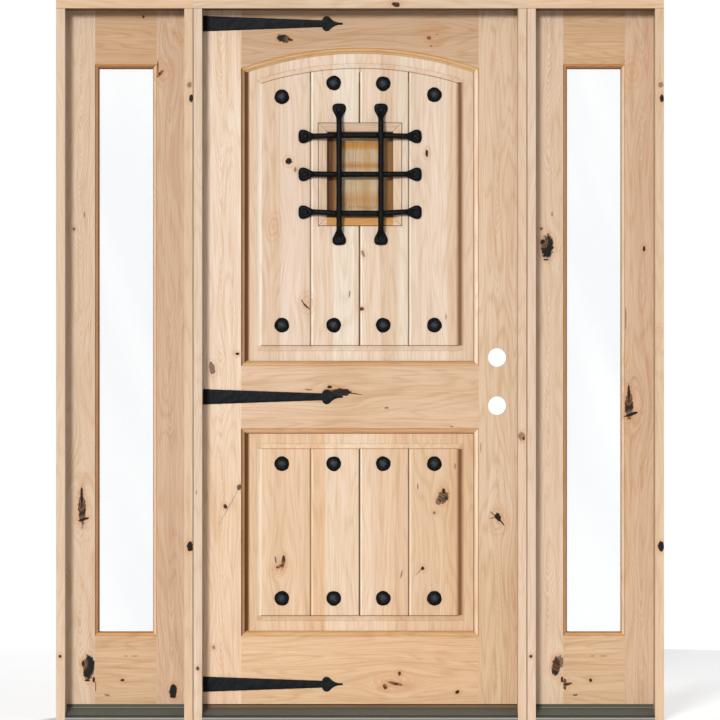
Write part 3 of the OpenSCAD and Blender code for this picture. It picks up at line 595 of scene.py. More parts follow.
# Each board: its grain's axis, its colour or the colours along it (drift) or across it (strips), its
# knots and its moulded edges. A knot is x, z, half width, half height, turn in degrees, curl and depth,
# and a chevron is its heart's place, slope, period and strength.
leafWood = {
    "hinge_stile": dict(grain="z", seed=1.3, figure=0.85, chevron=(-402.0, 5.0, 30.0, 0.16),
        drift=[(0, (234, 199, 165)), (330, (236, 204, 174)), (620, (235, 203, 171)),
               (930, (237, 209, 181)), (1300, (239, 213, 189)), (1700, (241, 217, 193)),
               (1960, (237, 208, 180)), (2070, (232, 201, 172))],
        knots=[(-428, 1012, 6, 14, 12, 0, 0.55), (-354, 1053, 5, 2.9, 0, 0, 1.0),
               (-349, 668, 5, 6, 0, 0, 0.7), (-389, 612, 4, 5, 20, 0, 0.9),
               (-373, 622, 56, 1.0, 61, 0, 0.42), (-423, 205, 3, 4, 0, 0, 0.4)],
        profiles=[("x", *lowerSpan, leftMould), ("x", *upperSpan, leftMould)]),
    "latch_stile": dict(grain="z", seed=4.7, figure=1.0, chevron=(396.0, 6.0, 34.0, 0.17),
        drift=[(0, (219, 183, 147)), (330, (214, 179, 143)), (640, (222, 192, 161)),
               (1000, (221, 190, 158)), (1240, (224, 194, 164)), (1500, (222, 190, 158)),
               (1800, (223, 192, 161)), (2070, (221, 190, 158))],
        knots=[(398, 568, 17, 22, 0, 0, 0.22), (398, 582, 6, 9, 20, 0, 1.0),
               (405, 572, 19, 1.8, -52, 0, 0.95), (386, 589, 12, 1.4, -40, 0, 0.8),
               (385, 579, 9, 1.2, 8, 0, 0.7), (349, 782, 1.2, 12, 0, 0, 0.5)],
        profiles=[("x", *lowerSpan, rightMould), ("x", *upperSpan, rightMould)]),
    "top_rail": dict(grain="x", colour=(205, 168, 133), seed=8.1, figure=1.0,
        knots=[(-220, 1964, 14, 8.5, -12, 0, 1.0), (-202, 1961, 6, 3, -20, 0, 0.8),
               (199, 1966, 4.5, 4.5, 0, 0, 1.0), (214, 1974, 17, 21, 0, 0, 0.18),
               (222, 1976, 2, 1.6, 0, 0, 0.7), (206, 1943, 3, 1.6, 0, 0, 0.7)],
        arcs=[(archMiddle, 343.0, archMould)]),
    "lock_rail": dict(grain="x", seed=2.9, figure=0.85,
        drift=[(-460, (224, 189, 158)), (-180, (222, 187, 154)), (-60, (214, 176, 140)),
               (60, (217, 181, 146)), (240, (218, 182, 148)), (460, (216, 180, 145))],
        knots=[(-62, 942, 27, 8, 0, 0, 0.95), (-22, 939, 25, 1.3, -8, 0, 0.95),
               (-88, 957, 5, 3.4, 0, 0, 0.9), (-148, 949, 9, 1.4, -4, 0.01, 0.75),
               (77, 897, 5, 2, 0, 0, 0.7), (265, 843, 4, 1.4, -20, 0, 0.6)],
        profiles=[("z", *openingSpan, footMould(1018.0)), ("z", *openingSpan, headMould(837.5))]),
    "bottom_rail": dict(grain="x", seed=6.4, figure=0.9,
        drift=[(-460, (226, 188, 149)), (-150, (225, 187, 147)), (80, (222, 182, 142)),
               (300, (219, 179, 139)), (460, (218, 178, 138))],
        knots=[(114, 130, 3.5, 4.6, 0, 0, 1.0), (103, 100, 16, 3.2, -12, 0, 1.0),
               (72, 92, 4.6, 6.4, 15, 0, 1.0), (282, 76, 5, 3.6, 25, 0, 0.95),
               (90, 107, 30, 14, -6, 0, 0.20)],
        profiles=[("z", *openingSpan, footMould(237.5))]),
    "upper_panel": dict(grain="z", seed=3.3, figure=0.74,
        strips=[(-345, (226, 195, 166)), (-283, (225, 194, 166)), (-230, (232, 205, 183)),
                (-172, (226, 199, 174)), (-142, (232, 206, 181)), (-91, (226, 197, 171)),
                (-79, (235, 217, 196)), (-18, (229, 206, 182)), (0, (232, 205, 180)),
                (57, (223, 193, 165)), (101, (226, 201, 176)), (112, (229, 208, 184)),
                (142, (228, 203, 180)), (176, (231, 206, 183)), (252, (224, 194, 165)),
                (300, (222, 192, 163))],
        knots=[(-206, 1610, 7, 7, 0, 0, 1.0), (193, 1633, 3, 8, 0, 0, 0.95),
               (-187, 1586, 3, 5, 0, 0, 0.45), (-158, 1193, 16, 2.2, -46, 0.008, 1.0),
               (-152, 1200, 13, 18, 0, 0, 0.22), (5, 1183, 4.5, 4, 20, 0, 0.8),
               (-30, 1226, 2, 9, -6, 0, 0.6), (9, 1342, 3, 8, 25, 0, 0.45),
               (-250, 1420, 11, 26, -10, 0, 0.16), (249, 1160, 1.8, 6, 0, 0, 0.5)],
        profiles=[("x", *upperField, fieldSection()), ("x", *underArch, grooveStops()),
                  ("x", *upperSpan, rimShadow), ("z", *fieldSpan, fieldFoot(1077.0))],
        arcs=[(archMiddle, 288.0, fieldArch)]),
    "lower_panel": dict(grain="z", seed=5.9, figure=0.75,
        strips=[(-345, (223, 187, 152)), (-283, (227, 195, 161)), (-262, (225, 190, 156)),
                (-212, (229, 194, 161)), (-165, (224, 189, 154)), (-142, (225, 187, 149)),
                (-101, (232, 203, 174)), (-22, (233, 205, 176)), (0, (230, 200, 171)),
                (57, (229, 196, 163)), (90, (225, 192, 159)), (101, (221, 184, 150)),
                (142, (224, 193, 162)), (151, (222, 188, 154)), (252, (218, 181, 144)),
                (300, (217, 180, 143))],
        knots=[(-222, 452, 4, 15, -8, 0, 0.9), (-231, 439, 9, 3.4, 22, 0, 0.9),
               (-244, 458, 2, 9, 10, 0, 0.75), (-240, 428, 14, 10, 20, 0, 0.22),
               (240, 640, 11, 14, 0, 0, 1.0), (242, 656, 4, 6, 0, 0, 0.95), (227, 627, 7, 8, 0, 0, 0.5),
               (167, 670, 1.8, 7, 0, 0, 0.6), (215, 594, 3, 3.4, 0, 0, 0.55),
               (181, 433, 4, 4, 0, 0, 0.95), (171, 424, 13, 1.2, 48, 0, 0.5),
               (120, 417, 1.9, 9, -10, 0, 0.6), (275, 728, 2, 7, 0, 0, 0.5)],
        profiles=[("x", *lowerField, fieldSection()), ("x", *lowerSpan, rimShadow),
                  ("z", *fieldSpan, fieldFoot(296.5)), ("z", *fieldSpan, fieldHead(778.5))]),
}
for nodeName, recipe in leafWood.items():
    paint(nodeName, alder(nodeName + "_alder", **recipe))

headSpan = (-900, 900)
jambSpan = (0, 2045)
jambEdge = 1000.0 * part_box("strike_jamb")[1][0]
headSeam = [(2044.0, (0.50, 0.42, 0.35)), (2045.2, (0.60, 0.52, 0.44)), (2046.4, plain)]


def seam(at, towards):       # a thin joint line on the edge of a jamb
    dark, half = (0.50, 0.44, 0.38), (0.62, 0.55, 0.48)
    return sorted([(at, dark), (at + towards * 1.0, half), (at + towards * 2.0, plain)])


frameWood = {
    "head_jamb": dict(grain="x", colour=(222, 192, 161), seed=7.7, figure=0.7,
        knots=[(103, 2056, 9, 5, -8, 0, 0.9)],
        profiles=[("z", *headSpan, headSeam)]),
    "hinge_jamb": dict(grain="z", colour=(223, 198, 172), seed=9.2, figure=0.6,
        knots=[(-466, 149, 3.5, 4.5, 0, 0, 0.75), (-470, 655, 2, 6, 0, 0, 0.4)],
        profiles=[("x", *jambSpan, seam(-jambEdge, 1))]),
    "strike_jamb": dict(grain="z", colour=(222, 191, 162), seed=0.6, figure=0.65,
        knots=[(464, 816, 8, 9, 0, 0, 0.45), (470, 810, 3, 4, 0, 0, 0.8), (468, 1955, 6, 8, 0, 0, 0.25)],
        profiles=[("x", *jambSpan, seam(jambEdge, -1))]),
    "left_side_head": dict(grain="x", colour=(226, 191, 156), seed=1.9, figure=0.7,
        profiles=[("z", *headSpan, headSeam)]),
    "right_side_head": dict(grain="x", colour=(226, 191, 156), seed=2.2, figure=0.7,
        profiles=[("z", *headSpan, headSeam)]),
    "left_side_outer_jamb": dict(grain="z", colour=(223, 195, 168), seed=3.8, figure=0.6,
        knots=[(-862, 184, 3.5, 3.5, 0, 0, 0.85)]),
    "left_side_mull_jamb": dict(grain="z", colour=(222, 190, 157), seed=4.1, figure=0.65,
        knots=[(-485, 1787, 4.5, 8, 0, 0, 1.0), (-490, 1826, 5, 6, 0, 0, 0.4),
               (-488, 500, 6.5, 11, 0, 0, 1.0)],
        profiles=[("x", *jambSpan, seam(-jambEdge, -1))]),
    "right_side_mull_jamb": dict(grain="z", colour=(224, 195, 170), seed=5.2, figure=0.6,
        knots=[(491, 184, 3.5, 3.5, 0, 0, 0.85)], profiles=[("x", *jambSpan, seam(jambEdge, 1))]),
    "right_side_outer_jamb": dict(grain="z", colour=(218, 186, 152), seed=6.9, figure=0.65,
        knots=[(867, 1787, 4.5, 8, 0, 0, 1.0), (864, 1826, 5, 6, 0, 0, 0.4),
               (865, 500, 7, 11, 0, 0, 1.0), (860, 1120, 8, 9, 0, 0, 0.2)]),
    "sill_cap": dict(grain="x", colour=(120, 92, 66), seed=9.9, figure=0.8),
    "sill_core": dict(grain="x", colour=(150, 118, 84), seed=5.5, figure=1.1),
    "rail_dowels": dict(grain="x", colour=(206, 176, 140), seed=1.1, figure=0.5),
}
outsideFace = 1000.0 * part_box("head_jamb")[0][1]
for nodeName, recipe in frameWood.items():
    paint(nodeName, alder(nodeName + "_alder", faceY=outsideFace, **recipe))

leftBeads = frontOf("left_glazing_beads")
rightBeads = frontOf("right_glazing_beads")
sashSpan = (239, 1888)
leftGlass = (-765, -587)
rightGlass = (587, 765)


def glassLeft(middle):       # the moulded edge on the left of the glass turns from the light
    return [(middle - 89.8, plain), (middle - 88.8, (0.62, 0.49, 0.37)),
            (middle - 87.4, (0.66, 0.53, 0.40)), (middle - 86.0, (0.86, 0.73, 0.57)),
            (middle - 80.6, (0.84, 0.71, 0.56)), (middle - 79.4, (0.58, 0.50, 0.43)),
            (middle - 77.5, (0.52, 0.47, 0.42))]


# the moulded edge on the right of the glass faces the light: a painted highlight between lines of painted
# shade
def glassRight(middle):
    return [(middle + 77.5, (0.72, 0.63, 0.55)), (middle + 78.8, (0.86, 0.78, 0.70)),
            (middle + 80.0, (1.10, 1.12, 1.13)), (middle + 86.0, (1.12, 1.13, 1.14)),
            (middle + 88.0, (0.96, 0.86, 0.72)), (middle + 89.0, (0.84, 0.73, 0.60)),
            (middle + 89.8, plain)]


# painted shade and highlights across the sashes' moulded edges above the glass and below it
sashHead = [(1877.2, (0.50, 0.39, 0.29)), (1878.6, (0.60, 0.47, 0.36)), (1880.0, (0.98, 0.83, 0.66)),
            (1883.0, (0.76, 0.61, 0.46)), (1884.8, (1.02, 0.89, 0.73)), (1887.2, (0.96, 0.83, 0.68)),
            (1888.4, (0.72, 0.59, 0.46)), (1889.6, plain)]
sashFoot = [(237.4, plain), (238.4, (0.86, 0.75, 0.61)), (240.2, (1.02, 0.90, 0.72)),
            (247.2, (1.0, 0.87, 0.69)), (248.6, (0.60, 0.48, 0.36)), (250.0, (0.52, 0.42, 0.33))]
sideWood = {
    "left_sash_outer_stile": dict(grain="z", colour=(221, 192, 163), seed=2.6, figure=0.7,
        chevron=(-808.0, 4.6, 27.0, 0.20),
        knots=[(-803, 605, 8, 36, 2, 0, 1.0), (-804, 640, 3, 22, 0, 0, 0.95),
               (-801, 574, 13, 3.2, 16, 0, 0.95), (-784, 148, 12, 27, -3, 0, 1.0),
               (-800, 158, 3.2, 7, 0, 0, 0.95), (-788, 109, 7, 2, 0, 0, 1.0),
               (-769, 111, 3, 6, 0, 0, 0.9), (-826, 1414, 3.4, 3.4, 0, 0, 0.55),
               (-796, 1455, 2, 6, 0, 0, 0.5)],
        profiles=[("x", *sashSpan, glassLeft(leftBeads[0]))]),
    "left_sash_inner_stile": dict(grain="z", colour=(212, 177, 145), seed=8.8, figure=0.8,
        chevron=(-548.0, 8.5, 60.0, 0.18),
        knots=[(-584, 1878, 1.9, 18, 0, 0, 1.0), (-578, 1862, 10, 3.2, 48, 0, 1.0),
               (-568, 1868, 17, 26, 0, 0, 0.28), (-540, 77, 8, 16, -4, 0, 1.0),
               (-528, 1968, 20, 7, -40, 0, 0.2)],
        profiles=[("x", *sashSpan, glassRight(leftBeads[0]))]),
    "left_sash_top_rail": dict(grain="x", colour=(205, 165, 125), seed=0.9, figure=1.0,
        knots=[(-626, 2027, 2.9, 3.4, 0, 0, 0.7)], profiles=[("z", *leftGlass, sashHead)]),
    "left_sash_bottom_rail": dict(grain="x", colour=(211, 173, 134), seed=4.4, figure=0.95,
        knots=[(-687, 110, 4.4, 3, 0, 0, 0.85), (-731, 67, 6, 2.4, -10, 0, 0.6),
               (-676, 180, 6, 1.2, 0, 0, 0.5), (-651, 180, 9, 1.2, 0, 0, 0.5),
               (-764, 92, 1.4, 12, 0, 0, 0.8)],
        profiles=[("z", *leftGlass, sashFoot)]),
    "right_sash_inner_stile": dict(grain="z", colour=(221, 192, 164), seed=6.1, figure=0.7,
        chevron=(544.0, 4.4, 28.0, 0.20),
        knots=[(541, 1362, 13, 27, -4, 0, 1.0), (528, 1377, 5, 6, 0, 0, 0.95),
               (538, 1325, 7, 2.0, 0, 0, 1.0), (524, 1415, 3.4, 3.4, 0, 0, 0.6),
               (555, 1457, 2, 6, 0, 0, 0.5), (566, 148, 9, 20, -6, 0, 1.0),
               (575, 164, 13, 13, 0, 0, 0.55), (584, 112, 3.2, 6, 0, 0, 0.9)],
        profiles=[("x", *sashSpan, glassLeft(rightBeads[0]))]),
    "right_sash_outer_stile": dict(grain="z", colour=(213, 177, 145), seed=3.5, figure=0.85,
        chevron=(812.0, 8.0, 56.0, 0.19),
        knots=[(777, 903, 9, 31, 0, 0, 1.0), (777, 940, 3, 19, 0, 0, 0.95),
               (783, 878, 16, 3.4, 20, 0, 1.0), (821, 1356, 2.9, 6, 0, 0, 0.9),
               (786, 1866, 17, 28, 0, 0, 0.28), (768, 1157, 1.4, 26, 0, 0, 0.6)],
        profiles=[("x", *sashSpan, glassRight(rightBeads[0]))]),
    "right_sash_top_rail": dict(grain="x", colour=(207, 167, 127), seed=7.3, figure=1.0,
        profiles=[("z", *rightGlass, sashHead)]),
    "right_sash_bottom_rail": dict(grain="x", colour=(212, 176, 138), seed=9.4, figure=0.95,
        knots=[(666, 110, 3.6, 4, 0, 0, 0.9), (622, 67, 6, 2.4, 10, 0, 0.7),
               (671, 180, 6, 1.2, 0, 0, 0.5), (703, 180, 9, 1.2, 0, 0, 0.5),
               (592, 99, 4, 13, 0, 0, 0.95), (600, 99, 10, 3.0, 10, 0, 0.8)],
        profiles=[("z", *rightGlass, sashFoot)]),
    "left_glazing_beads": dict(colour=(222, 182, 140), seed=1.6, figure=0.8, mitre=leftBeads),
    "right_glazing_beads": dict(colour=(222, 182, 140), seed=2.4, figure=0.8, mitre=rightBeads),
}
for nodeName, recipe in sideWood.items():
    paint(nodeName, alder(nodeName + "_alder", **recipe))

ringFront = frontOf("speakeasy_ring")
linerSpan = (-96, 96)
boardSpan = (-110, 110)
peepWood = {
    "speakeasy_ring": dict(colour=(231, 200, 170), seed=5.1, figure=0.8, mitre=ringFront,
        frameLine=[(-0.5, (0.36, 0.29, 0.23)), (1.3, (0.40, 0.32, 0.25)), (2.2, plain), (24.6, plain),
                   (25.8, (0.62, 0.50, 0.38)), (27.6, (0.50, 0.38, 0.28))],
        profiles=[("z", *linerSpan, [(1421.0, (0.92, 0.78, 0.56)), (1446.0, (0.92, 0.76, 0.50)),
                                     (1452.0, plain)])]),
    "speakeasy_liner": dict(colour=(146, 92, 52), seed=6.6, figure=1.0, mitre=ringFront),
    # Across the small door, painted shade from the recess darkens the strips at both sides over the wood's
    # own streaks; up its height it has amber bands, with painted shade darkening the top under the
    # opening's edge.
    "speakeasy_door": dict(grain="z", seed=7.9, figure=1.3,
        strips=[(-110, (96, 60, 34)), (-78, (150, 104, 60)), (-66, (186, 158, 120)),
                (-48, (198, 170, 134)), (-22, (204, 178, 142)), (8, (194, 162, 116)),
                (30, (204, 176, 140)), (46, (186, 152, 112)), (62, (168, 128, 84)), (78, (152, 104, 58)),
                (110, (120, 70, 38))],
        step=5.0,
        profiles=[("z", *boardSpan, [(1440, (0.86, 0.70, 0.50)), (1458, plain),
                                     (1500, (0.94, 0.84, 0.72)), (1530, plain), (1585, plain),
                                     (1597, (0.92, 0.74, 0.52)), (1612, plain), (1640, plain),
                                     (1650, (0.96, 0.80, 0.50)), (1668, (0.90, 0.72, 0.48)),
                                     (1700, (0.72, 0.56, 0.38))])],
        knots=[(18, 1620, 9, 17, 0, 0, 0.25), (10, 1488, 9, 22, 10, 0, 0.25)]),
}
for nodeName, recipe in peepWood.items():
    paint(nodeName, alder(nodeName + "_alder", **recipe))
print("alder on", len(leafWood) + len(frameWood) + len(sideWood) + len(peepWood), "pieces")


# metal, glass and seals

# rubbed is the colour of a painted highlight in the middle of each nail head
ironLook = {"colour": (0.0026, 0.0026, 0.0027, 1.0), "sheen": (0.0052, 0.0055, 0.0060, 1.0),
            "rubbed": (0.030, 0.033, 0.038, 1.0), "roughness": 0.50}


# Blackened iron: flat hammer marks are the cells of a smooth Voronoi, with fine scale over them.
def wroughtIron(name, cell, dent, rubbed=None):
    iron = Finish(name, {"Specular IOR Level": 0.09, "Specular Tint": (0.88, 0.95, 1.0, 1.0)})
    x, y, z = iron.place()
    spot = iron.node("ShaderNodeCombineXYZ", {}, {0: x / cell, 1: y / cell, 2: z / cell})
    marks = iron.node("ShaderNodeTexVoronoi", {"feature": "SMOOTH_F1"},
                      {"Vector": spot, "Scale": 1.0, "Smoothness": 0.45}, "Distance")
    scale = iron.noise(x * 0.7, y * 0.7, z * 0.7, 4.0, 0.6)
    wear = iron.noise(x * 0.05, y * 0.05, z * 0.05, 2.0)
    worn = iron.soft(wear + (scale - 0.5) * 0.4, 0.35, 0.75)
    shade = iron.blend(worn, ironLook["colour"], ironLook["sheen"])
    if rubbed:                   # how far the middle of each head gets a painted highlight
        middle = iron.node("ShaderNodeAttribute", {"attribute_name": rubbed}, {}, "Fac")
        grey = iron.soft(middle + (scale - 0.5) * 0.5 + (marks - 0.4) * 0.5, 0.42, 0.95)
        shade = iron.blend(grey, shade, ironLook["rubbed"])
    rough = ironLook["roughness"] + (scale - 0.5) * 0.24 + (wear - 0.5) * 0.16
    return iron.connect(colour=shade, rough=rough,
                        normal=iron.bump(marks * 0.8 + scale * 0.12, dent, cell * 0.00035))


barIron = wroughtIron("forgedBarIron", 11.0, 0.40)
plateIron = wroughtIron("plateIron", 16.0, 0.22)
smallIron = wroughtIron("smallPartIron", 6.0, 0.30)
nailIron = wroughtIron("nailIron", 5.0, 0.35, "rubbed")


# Brushed steel: a noise stretched along the hinge's height.
def brushedSteel():
    steel = Finish("hingeSteel", {"Metallic": 1.0})
    x, y, z = steel.place()
    brush = steel.noise(x * 1.1, y * 1.1, z * 0.04, 3.0)
    smudge = steel.noise(x * 0.05, y * 0.05, z * 0.05, 2.0)
    shade = steel.blend(brush, (0.50, 0.49, 0.47, 1.0), (0.66, 0.65, 0.62, 1.0))
    rough = 0.27 + brush * 0.12 + smudge * 0.10
    return steel.connect(colour=shade, rough=rough, normal=steel.bump(brush, 0.10, 0.0002))


steelFinish = brushedSteel()


# tones up the sill, by height in millimetres: a painted highlight on the nose with painted shade below it,
# two folds in painted shade, the tread, and painted shade at its top edge
sillShadeAndTone = [(0.0, (62, 58, 52)), (2.2, (62, 58, 52)), (3.2, (160, 158, 152)), (6.2, (160, 158, 152)),
             (7.4, (84, 80, 76)), (10.2, (92, 88, 84)), (11.2, (60, 56, 50)), (12.8, (60, 56, 50)),
             (14.0, (110, 116, 108)), (31.0, (112, 116, 106)), (33.5, (70, 66, 50))]


# The sill's metal: a ramp of the height, which holds the painted highlight and shade of its bands, brushed
# along its length and scuffed in patches.
def treadMetal():
    metal = Finish("bronzeTread", {"Specular IOR Level": 0.5})
    x, y, z = metal.place()
    brush = metal.noise(x * 0.012, y * 1.2, z * 1.2, 3.0)
    scuff = metal.noise(x * 0.06, y * 0.06, z * 0.06, 4.0, 0.6)
    tones = [(spot, tone(*shown)) for spot, shown in sillShadeAndTone]
    bands = metal.ramp(z, tones, sillShadeAndTone[0][0], sillShadeAndTone[-1][0])
    grain = metal.blend(brush, (0.80, 0.80, 0.80, 1.0), (1.20, 1.20, 1.20, 1.0))
    shade = metal.blend(1.0, bands, grain, "MULTIPLY")
    shade = metal.blend(metal.soft(scuff, 0.60, 0.80) * 0.35, shade, tone(140, 136, 126))
    rough = 0.44 + brush * 0.12 + scuff * 0.12
    relief = metal.bump(brush + scuff * 0.4, 0.10, 0.0003)
    return metal.connect(colour=shade, rough=rough, metal=0.35, normal=relief)


def sealFoam():
    foam = Finish("brownSeal", {"Specular IOR Level": 0.2})
    x, y, z = foam.place()
    pits = foam.noise(x * 1.3, y * 1.3, z * 1.3, 3.0)
    shade = foam.blend(pits, tone(74, 56, 42), tone(104, 82, 62))
    return foam.connect(colour=shade, rough=0.75 + pits * 0.1, normal=foam.bump(pits, 0.2, 0.0003))


def spacerMetal():
    spacer = Finish("glassSpacerMetal", {"Metallic": 0.7})
    x, y, z = spacer.place()
    grain = spacer.noise(x * 0.8, y * 0.8, z * 0.8, 2.0)
    shade = spacer.blend(grain, (0.60, 0.60, 0.60, 1.0), (0.72, 0.72, 0.72, 1.0))
    return spacer.connect(colour=shade, rough=0.38 + grain * 0.1)


# Clear panes: almost all of the light goes straight through, more is thrown back at the edges.
def clearPane():
    pane = Finish("clearPane", {"Roughness": 0.03, "Specular IOR Level": 0.5})
    x, y, z = pane.place()
    # faint, darker and less clear streaks run diagonally over the panes
    paneStreaks = pane.soft(pane.noise((x + z * 0.4) * 0.006, y * 0.006, (x - z) * 0.0009, 1.0), 0.30, 0.70)
    edge = pane.node("ShaderNodeFresnel", {}, {"IOR": 1.45})
    shade = pane.blend(paneStreaks, (0.60, 0.63, 0.65, 1.0), (0.50, 0.54, 0.57, 1.0))
    pane.material.surface_render_method = "BLENDED"
    return pane.connect(colour=shade, alpha=0.015 + edge * 0.50 + paneStreaks * 0.030)


glassFinish = clearPane()
foamFinish = sealFoam()
spacerFinish = spacerMetal()
plainNodes = {
    steelFinish: ["frame_hinge_leaves", "hinge_pins", "frame_screws", "door_hinge_leaves", "door_screws"],
    treadMetal(): ["sill_deck", "left_side_sill", "right_side_sill"],
    foamFinish: ["weatherstrip", "sweep"],
    glassFinish: ["left_glass", "right_glass"],
    spacerFinish: ["left_glass_spacer", "right_glass_spacer"],
    smallIron: ["grille_screws", "strap_screws", "speakeasy_fixed_leaves", "speakeasy_leaves",
                "bolt_guides", "bolt_keeper", "bolt"],
}
for material, names in plainNodes.items():
    for nodeName in names:
        paint(nodeName, material)
print("metal, glass and seals ready")


# the forged pieces, each a stack of closed rings

# Rings of points become one closed skin: quads between neighbouring rings, a fan over each end.
def ringSkin(rings):
    count, around, _ = rings.shape
    ends = np.stack([rings[0].mean(axis=0), rings[-1].mean(axis=0)])
    points = np.concatenate([rings.reshape(-1, 3), ends])
    row, col = np.meshgrid(np.arange(count - 1), np.arange(around), indexing="ij")
    here = row * around + col
    beside = row * around + (col + 1) % around
    quads = np.stack([here, beside, beside + around, here + around], axis=-1).reshape(-1, 4)
    col = np.arange(around)
    first = np.stack([np.full(around, count * around), (col + 1) % around, col], axis=-1)
    last = (count - 1) * around
    final = np.stack([np.full(around, count * around + 1), last + col, last + (col + 1) % around], axis=-1)
    a, b, c, d = (points[quads[:, k]] for k in range(4))
    size = (np.cross(a, b) * c).sum() + (np.cross(a, c) * d).sum()
    for tri in (first, final):
        p, q, r = (points[tri[:, k]] for k in range(3))
        size += (np.cross(p, q) * r).sum()
    if size < 0:            # faces point outwards
        quads, first, final = quads[:, ::-1], first[:, ::-1], final[:, ::-1]
    return points, quads, np.concatenate([first, final])


def forgedPiece(name, skins, material, body, stands, sharp=None, marks=None):
    points, faces, start = [], [], 0
    for skin in skins:
        points.append(skin[0])
        faces += (skin[1] + start).tolist() + (skin[2] + start).tolist()
        start += len(skin[0])
    mesh = bpy.data.meshes.new(name)
    mesh.from_pydata((np.concatenate(points) * 0.001).tolist(), [], faces)
    mesh.shade_smooth()
    if sharp:
        mesh.set_sharp_from_angle(angle=math.radians(sharp))
    if marks:                # one number for each point, for the material
        for key, values in marks.items():
            layer = mesh.attributes.new(key, "FLOAT", "POINT")
            layer.data.foreach_set("value", np.asarray(values, dtype=np.float32))
    mesh.materials.append(material)
    piece = bpy.data.objects.new(name, mesh)
    bpy.context.scene.collection.objects.link(piece)
    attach(piece, body)
    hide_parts(*stands)
    return piece


nails = {
    "rowX": (-225.9, -76.0, 67.0, 214.9),
    "upperZ": (1795.9, 1835.9, 1833.9, 1801.9),
    "otherZ": (1136.0, 735.5, 346.5),
    "radius": 22.25,
    "height": 11.0,
    "rim": 2.6,              # thickness at the edge
    "shank": 2.5,
    "shankDepth": 23.0,
    "seat": 17.525,          # the field the heads sit on
    "waves": ((0.018, 3.0, 1.0), (0.013, 5.0, 2.0), (0.008, 9.0, -1.0)),     # share, count, seeds
    "press": 0.385,          # half the depth of the hammer's flats
    "flatWide": 5.1,
    "flatTall": 4.6,
    "sharp": 50,             # edges that turn more than this stay crisp, degrees
}


# A dome over a wavering circle: the outline is the radius less a few slow sines of the angle, the
# height falls with the square of the radius, and shallow flats are pressed in by products of sines.
def nailHead(centreX, centreZ, seed):
    n = nails
    turn = np.linspace(0.0, 2.0 * np.pi, 44, endpoint=False)
    edge = np.ones_like(turn)
    for part, count, seeds in n["waves"]:
        edge = edge - part * (1.0 + np.sin(count * turn + seeds * seed))
    share = np.concatenate([np.linspace(0.05, 0.90, 15), [0.95, 0.985, 1.0]])
    reach = np.outer(share, edge * n["radius"])
    rise = n["rim"] + (n["height"] - n["rim"]) * (1.0 - share ** 2.1)[:, None] * np.ones_like(turn)
    offX = reach * np.cos(turn)
    offZ = reach * np.sin(turn)
    press = 1.0 + np.sin(offX / n["flatWide"] + seed) * np.sin(offZ / n["flatTall"] - 2.0 * seed)
    rise = rise - n["press"] * press * (1.0 - share ** 6)[:, None]
    rise[-2] -= 0.4          # the edge is rounded over
    rise[-1] -= 1.1
    under = [(edge * n["radius"], 0.0), (np.full_like(turn, n["shank"] + 0.1), 0.0),
             (np.full_like(turn, n["shank"]), -n["shankDepth"])]
    rings = [np.stack([centreX + offX, n["seat"] - rise, centreZ + offZ], axis=-1)]
    for radius, height in under:
        level = np.full_like(turn, n["seat"] - height)
        ring = [centreX + radius * np.cos(turn), level, centreZ + radius * np.sin(turn)]
        rings.append(np.stack(ring, axis=-1)[None])
    return ringSkin(np.concatenate(rings))


nailSpots = list(zip(nails["rowX"], nails["upperZ"]))
nailSpots += [(x, z) for z in nails["otherZ"] for x in nails["rowX"]]
nailSkins = [nailHead(x, z, 1.7 * k) for k, (x, z) in enumerate(nailSpots)]
# a painted highlight in the middle of each nail head, fading out to its rim
fromMiddle = np.concatenate([np.hypot(skin[0][:, 0] - x, skin[0][:, 2] - z)
                             for skin, (x, z) in zip(nailSkins, nailSpots)])
rubbed = 1.0 - np.minimum(fromMiddle / nails["radius"], 1.0)
forgedPiece("hammeredNails", nailSkins, nailIron, "door_leaf", ["round_nails"], nails["sharp"],
            {"rubbed": rubbed})

grille = {
    "barRadius": 8.25,
    "flareRadius": 19.6,
    "padDepth": 9.0,
    "seat": 17.525,
    "uprightX": 60.3,
    "uprightY": -10.975,
    "uprightLong": 409.0,
    "crossZ": 109.5,
    "crossY": 3.525,
    "crossLong": 356.0,
    "neck": 9.0,             # where a bell starts, before its pad
    "closing": 5.0,          # where its end starts to close, past the pad's middle
    "dimple": 4.2,           # the hollow round each screw, and the swelling round that
    "dimpleWide": 6.0,
    "swell": 1.7,
    "swellAt": 11.0,
    "swellWide": 3.2,
    "saddle": 0.27,          # share of a crossbar that is hammered flat where an upright crosses it
    "saddleWide": 10.0,
    "wobble": ((0.022, 0.071, 1.0), (0.014, 0.163, 2.3)),   # share, radians per mm, seeds
    "bow": {-1: -3.6, 0: -0.6, 1: 2.4},     # how far the middle of each crossbar stands off its ends
    "bowAt": 62.0,           # it is level up to here, and eases out over the next stretch
    "bowOver": 70.0,
    "sharp": 60,
}


def ease(value):
    value = np.clip(value, 0.0, 1.0)
    return value * value * (3.0 - 2.0 * value)


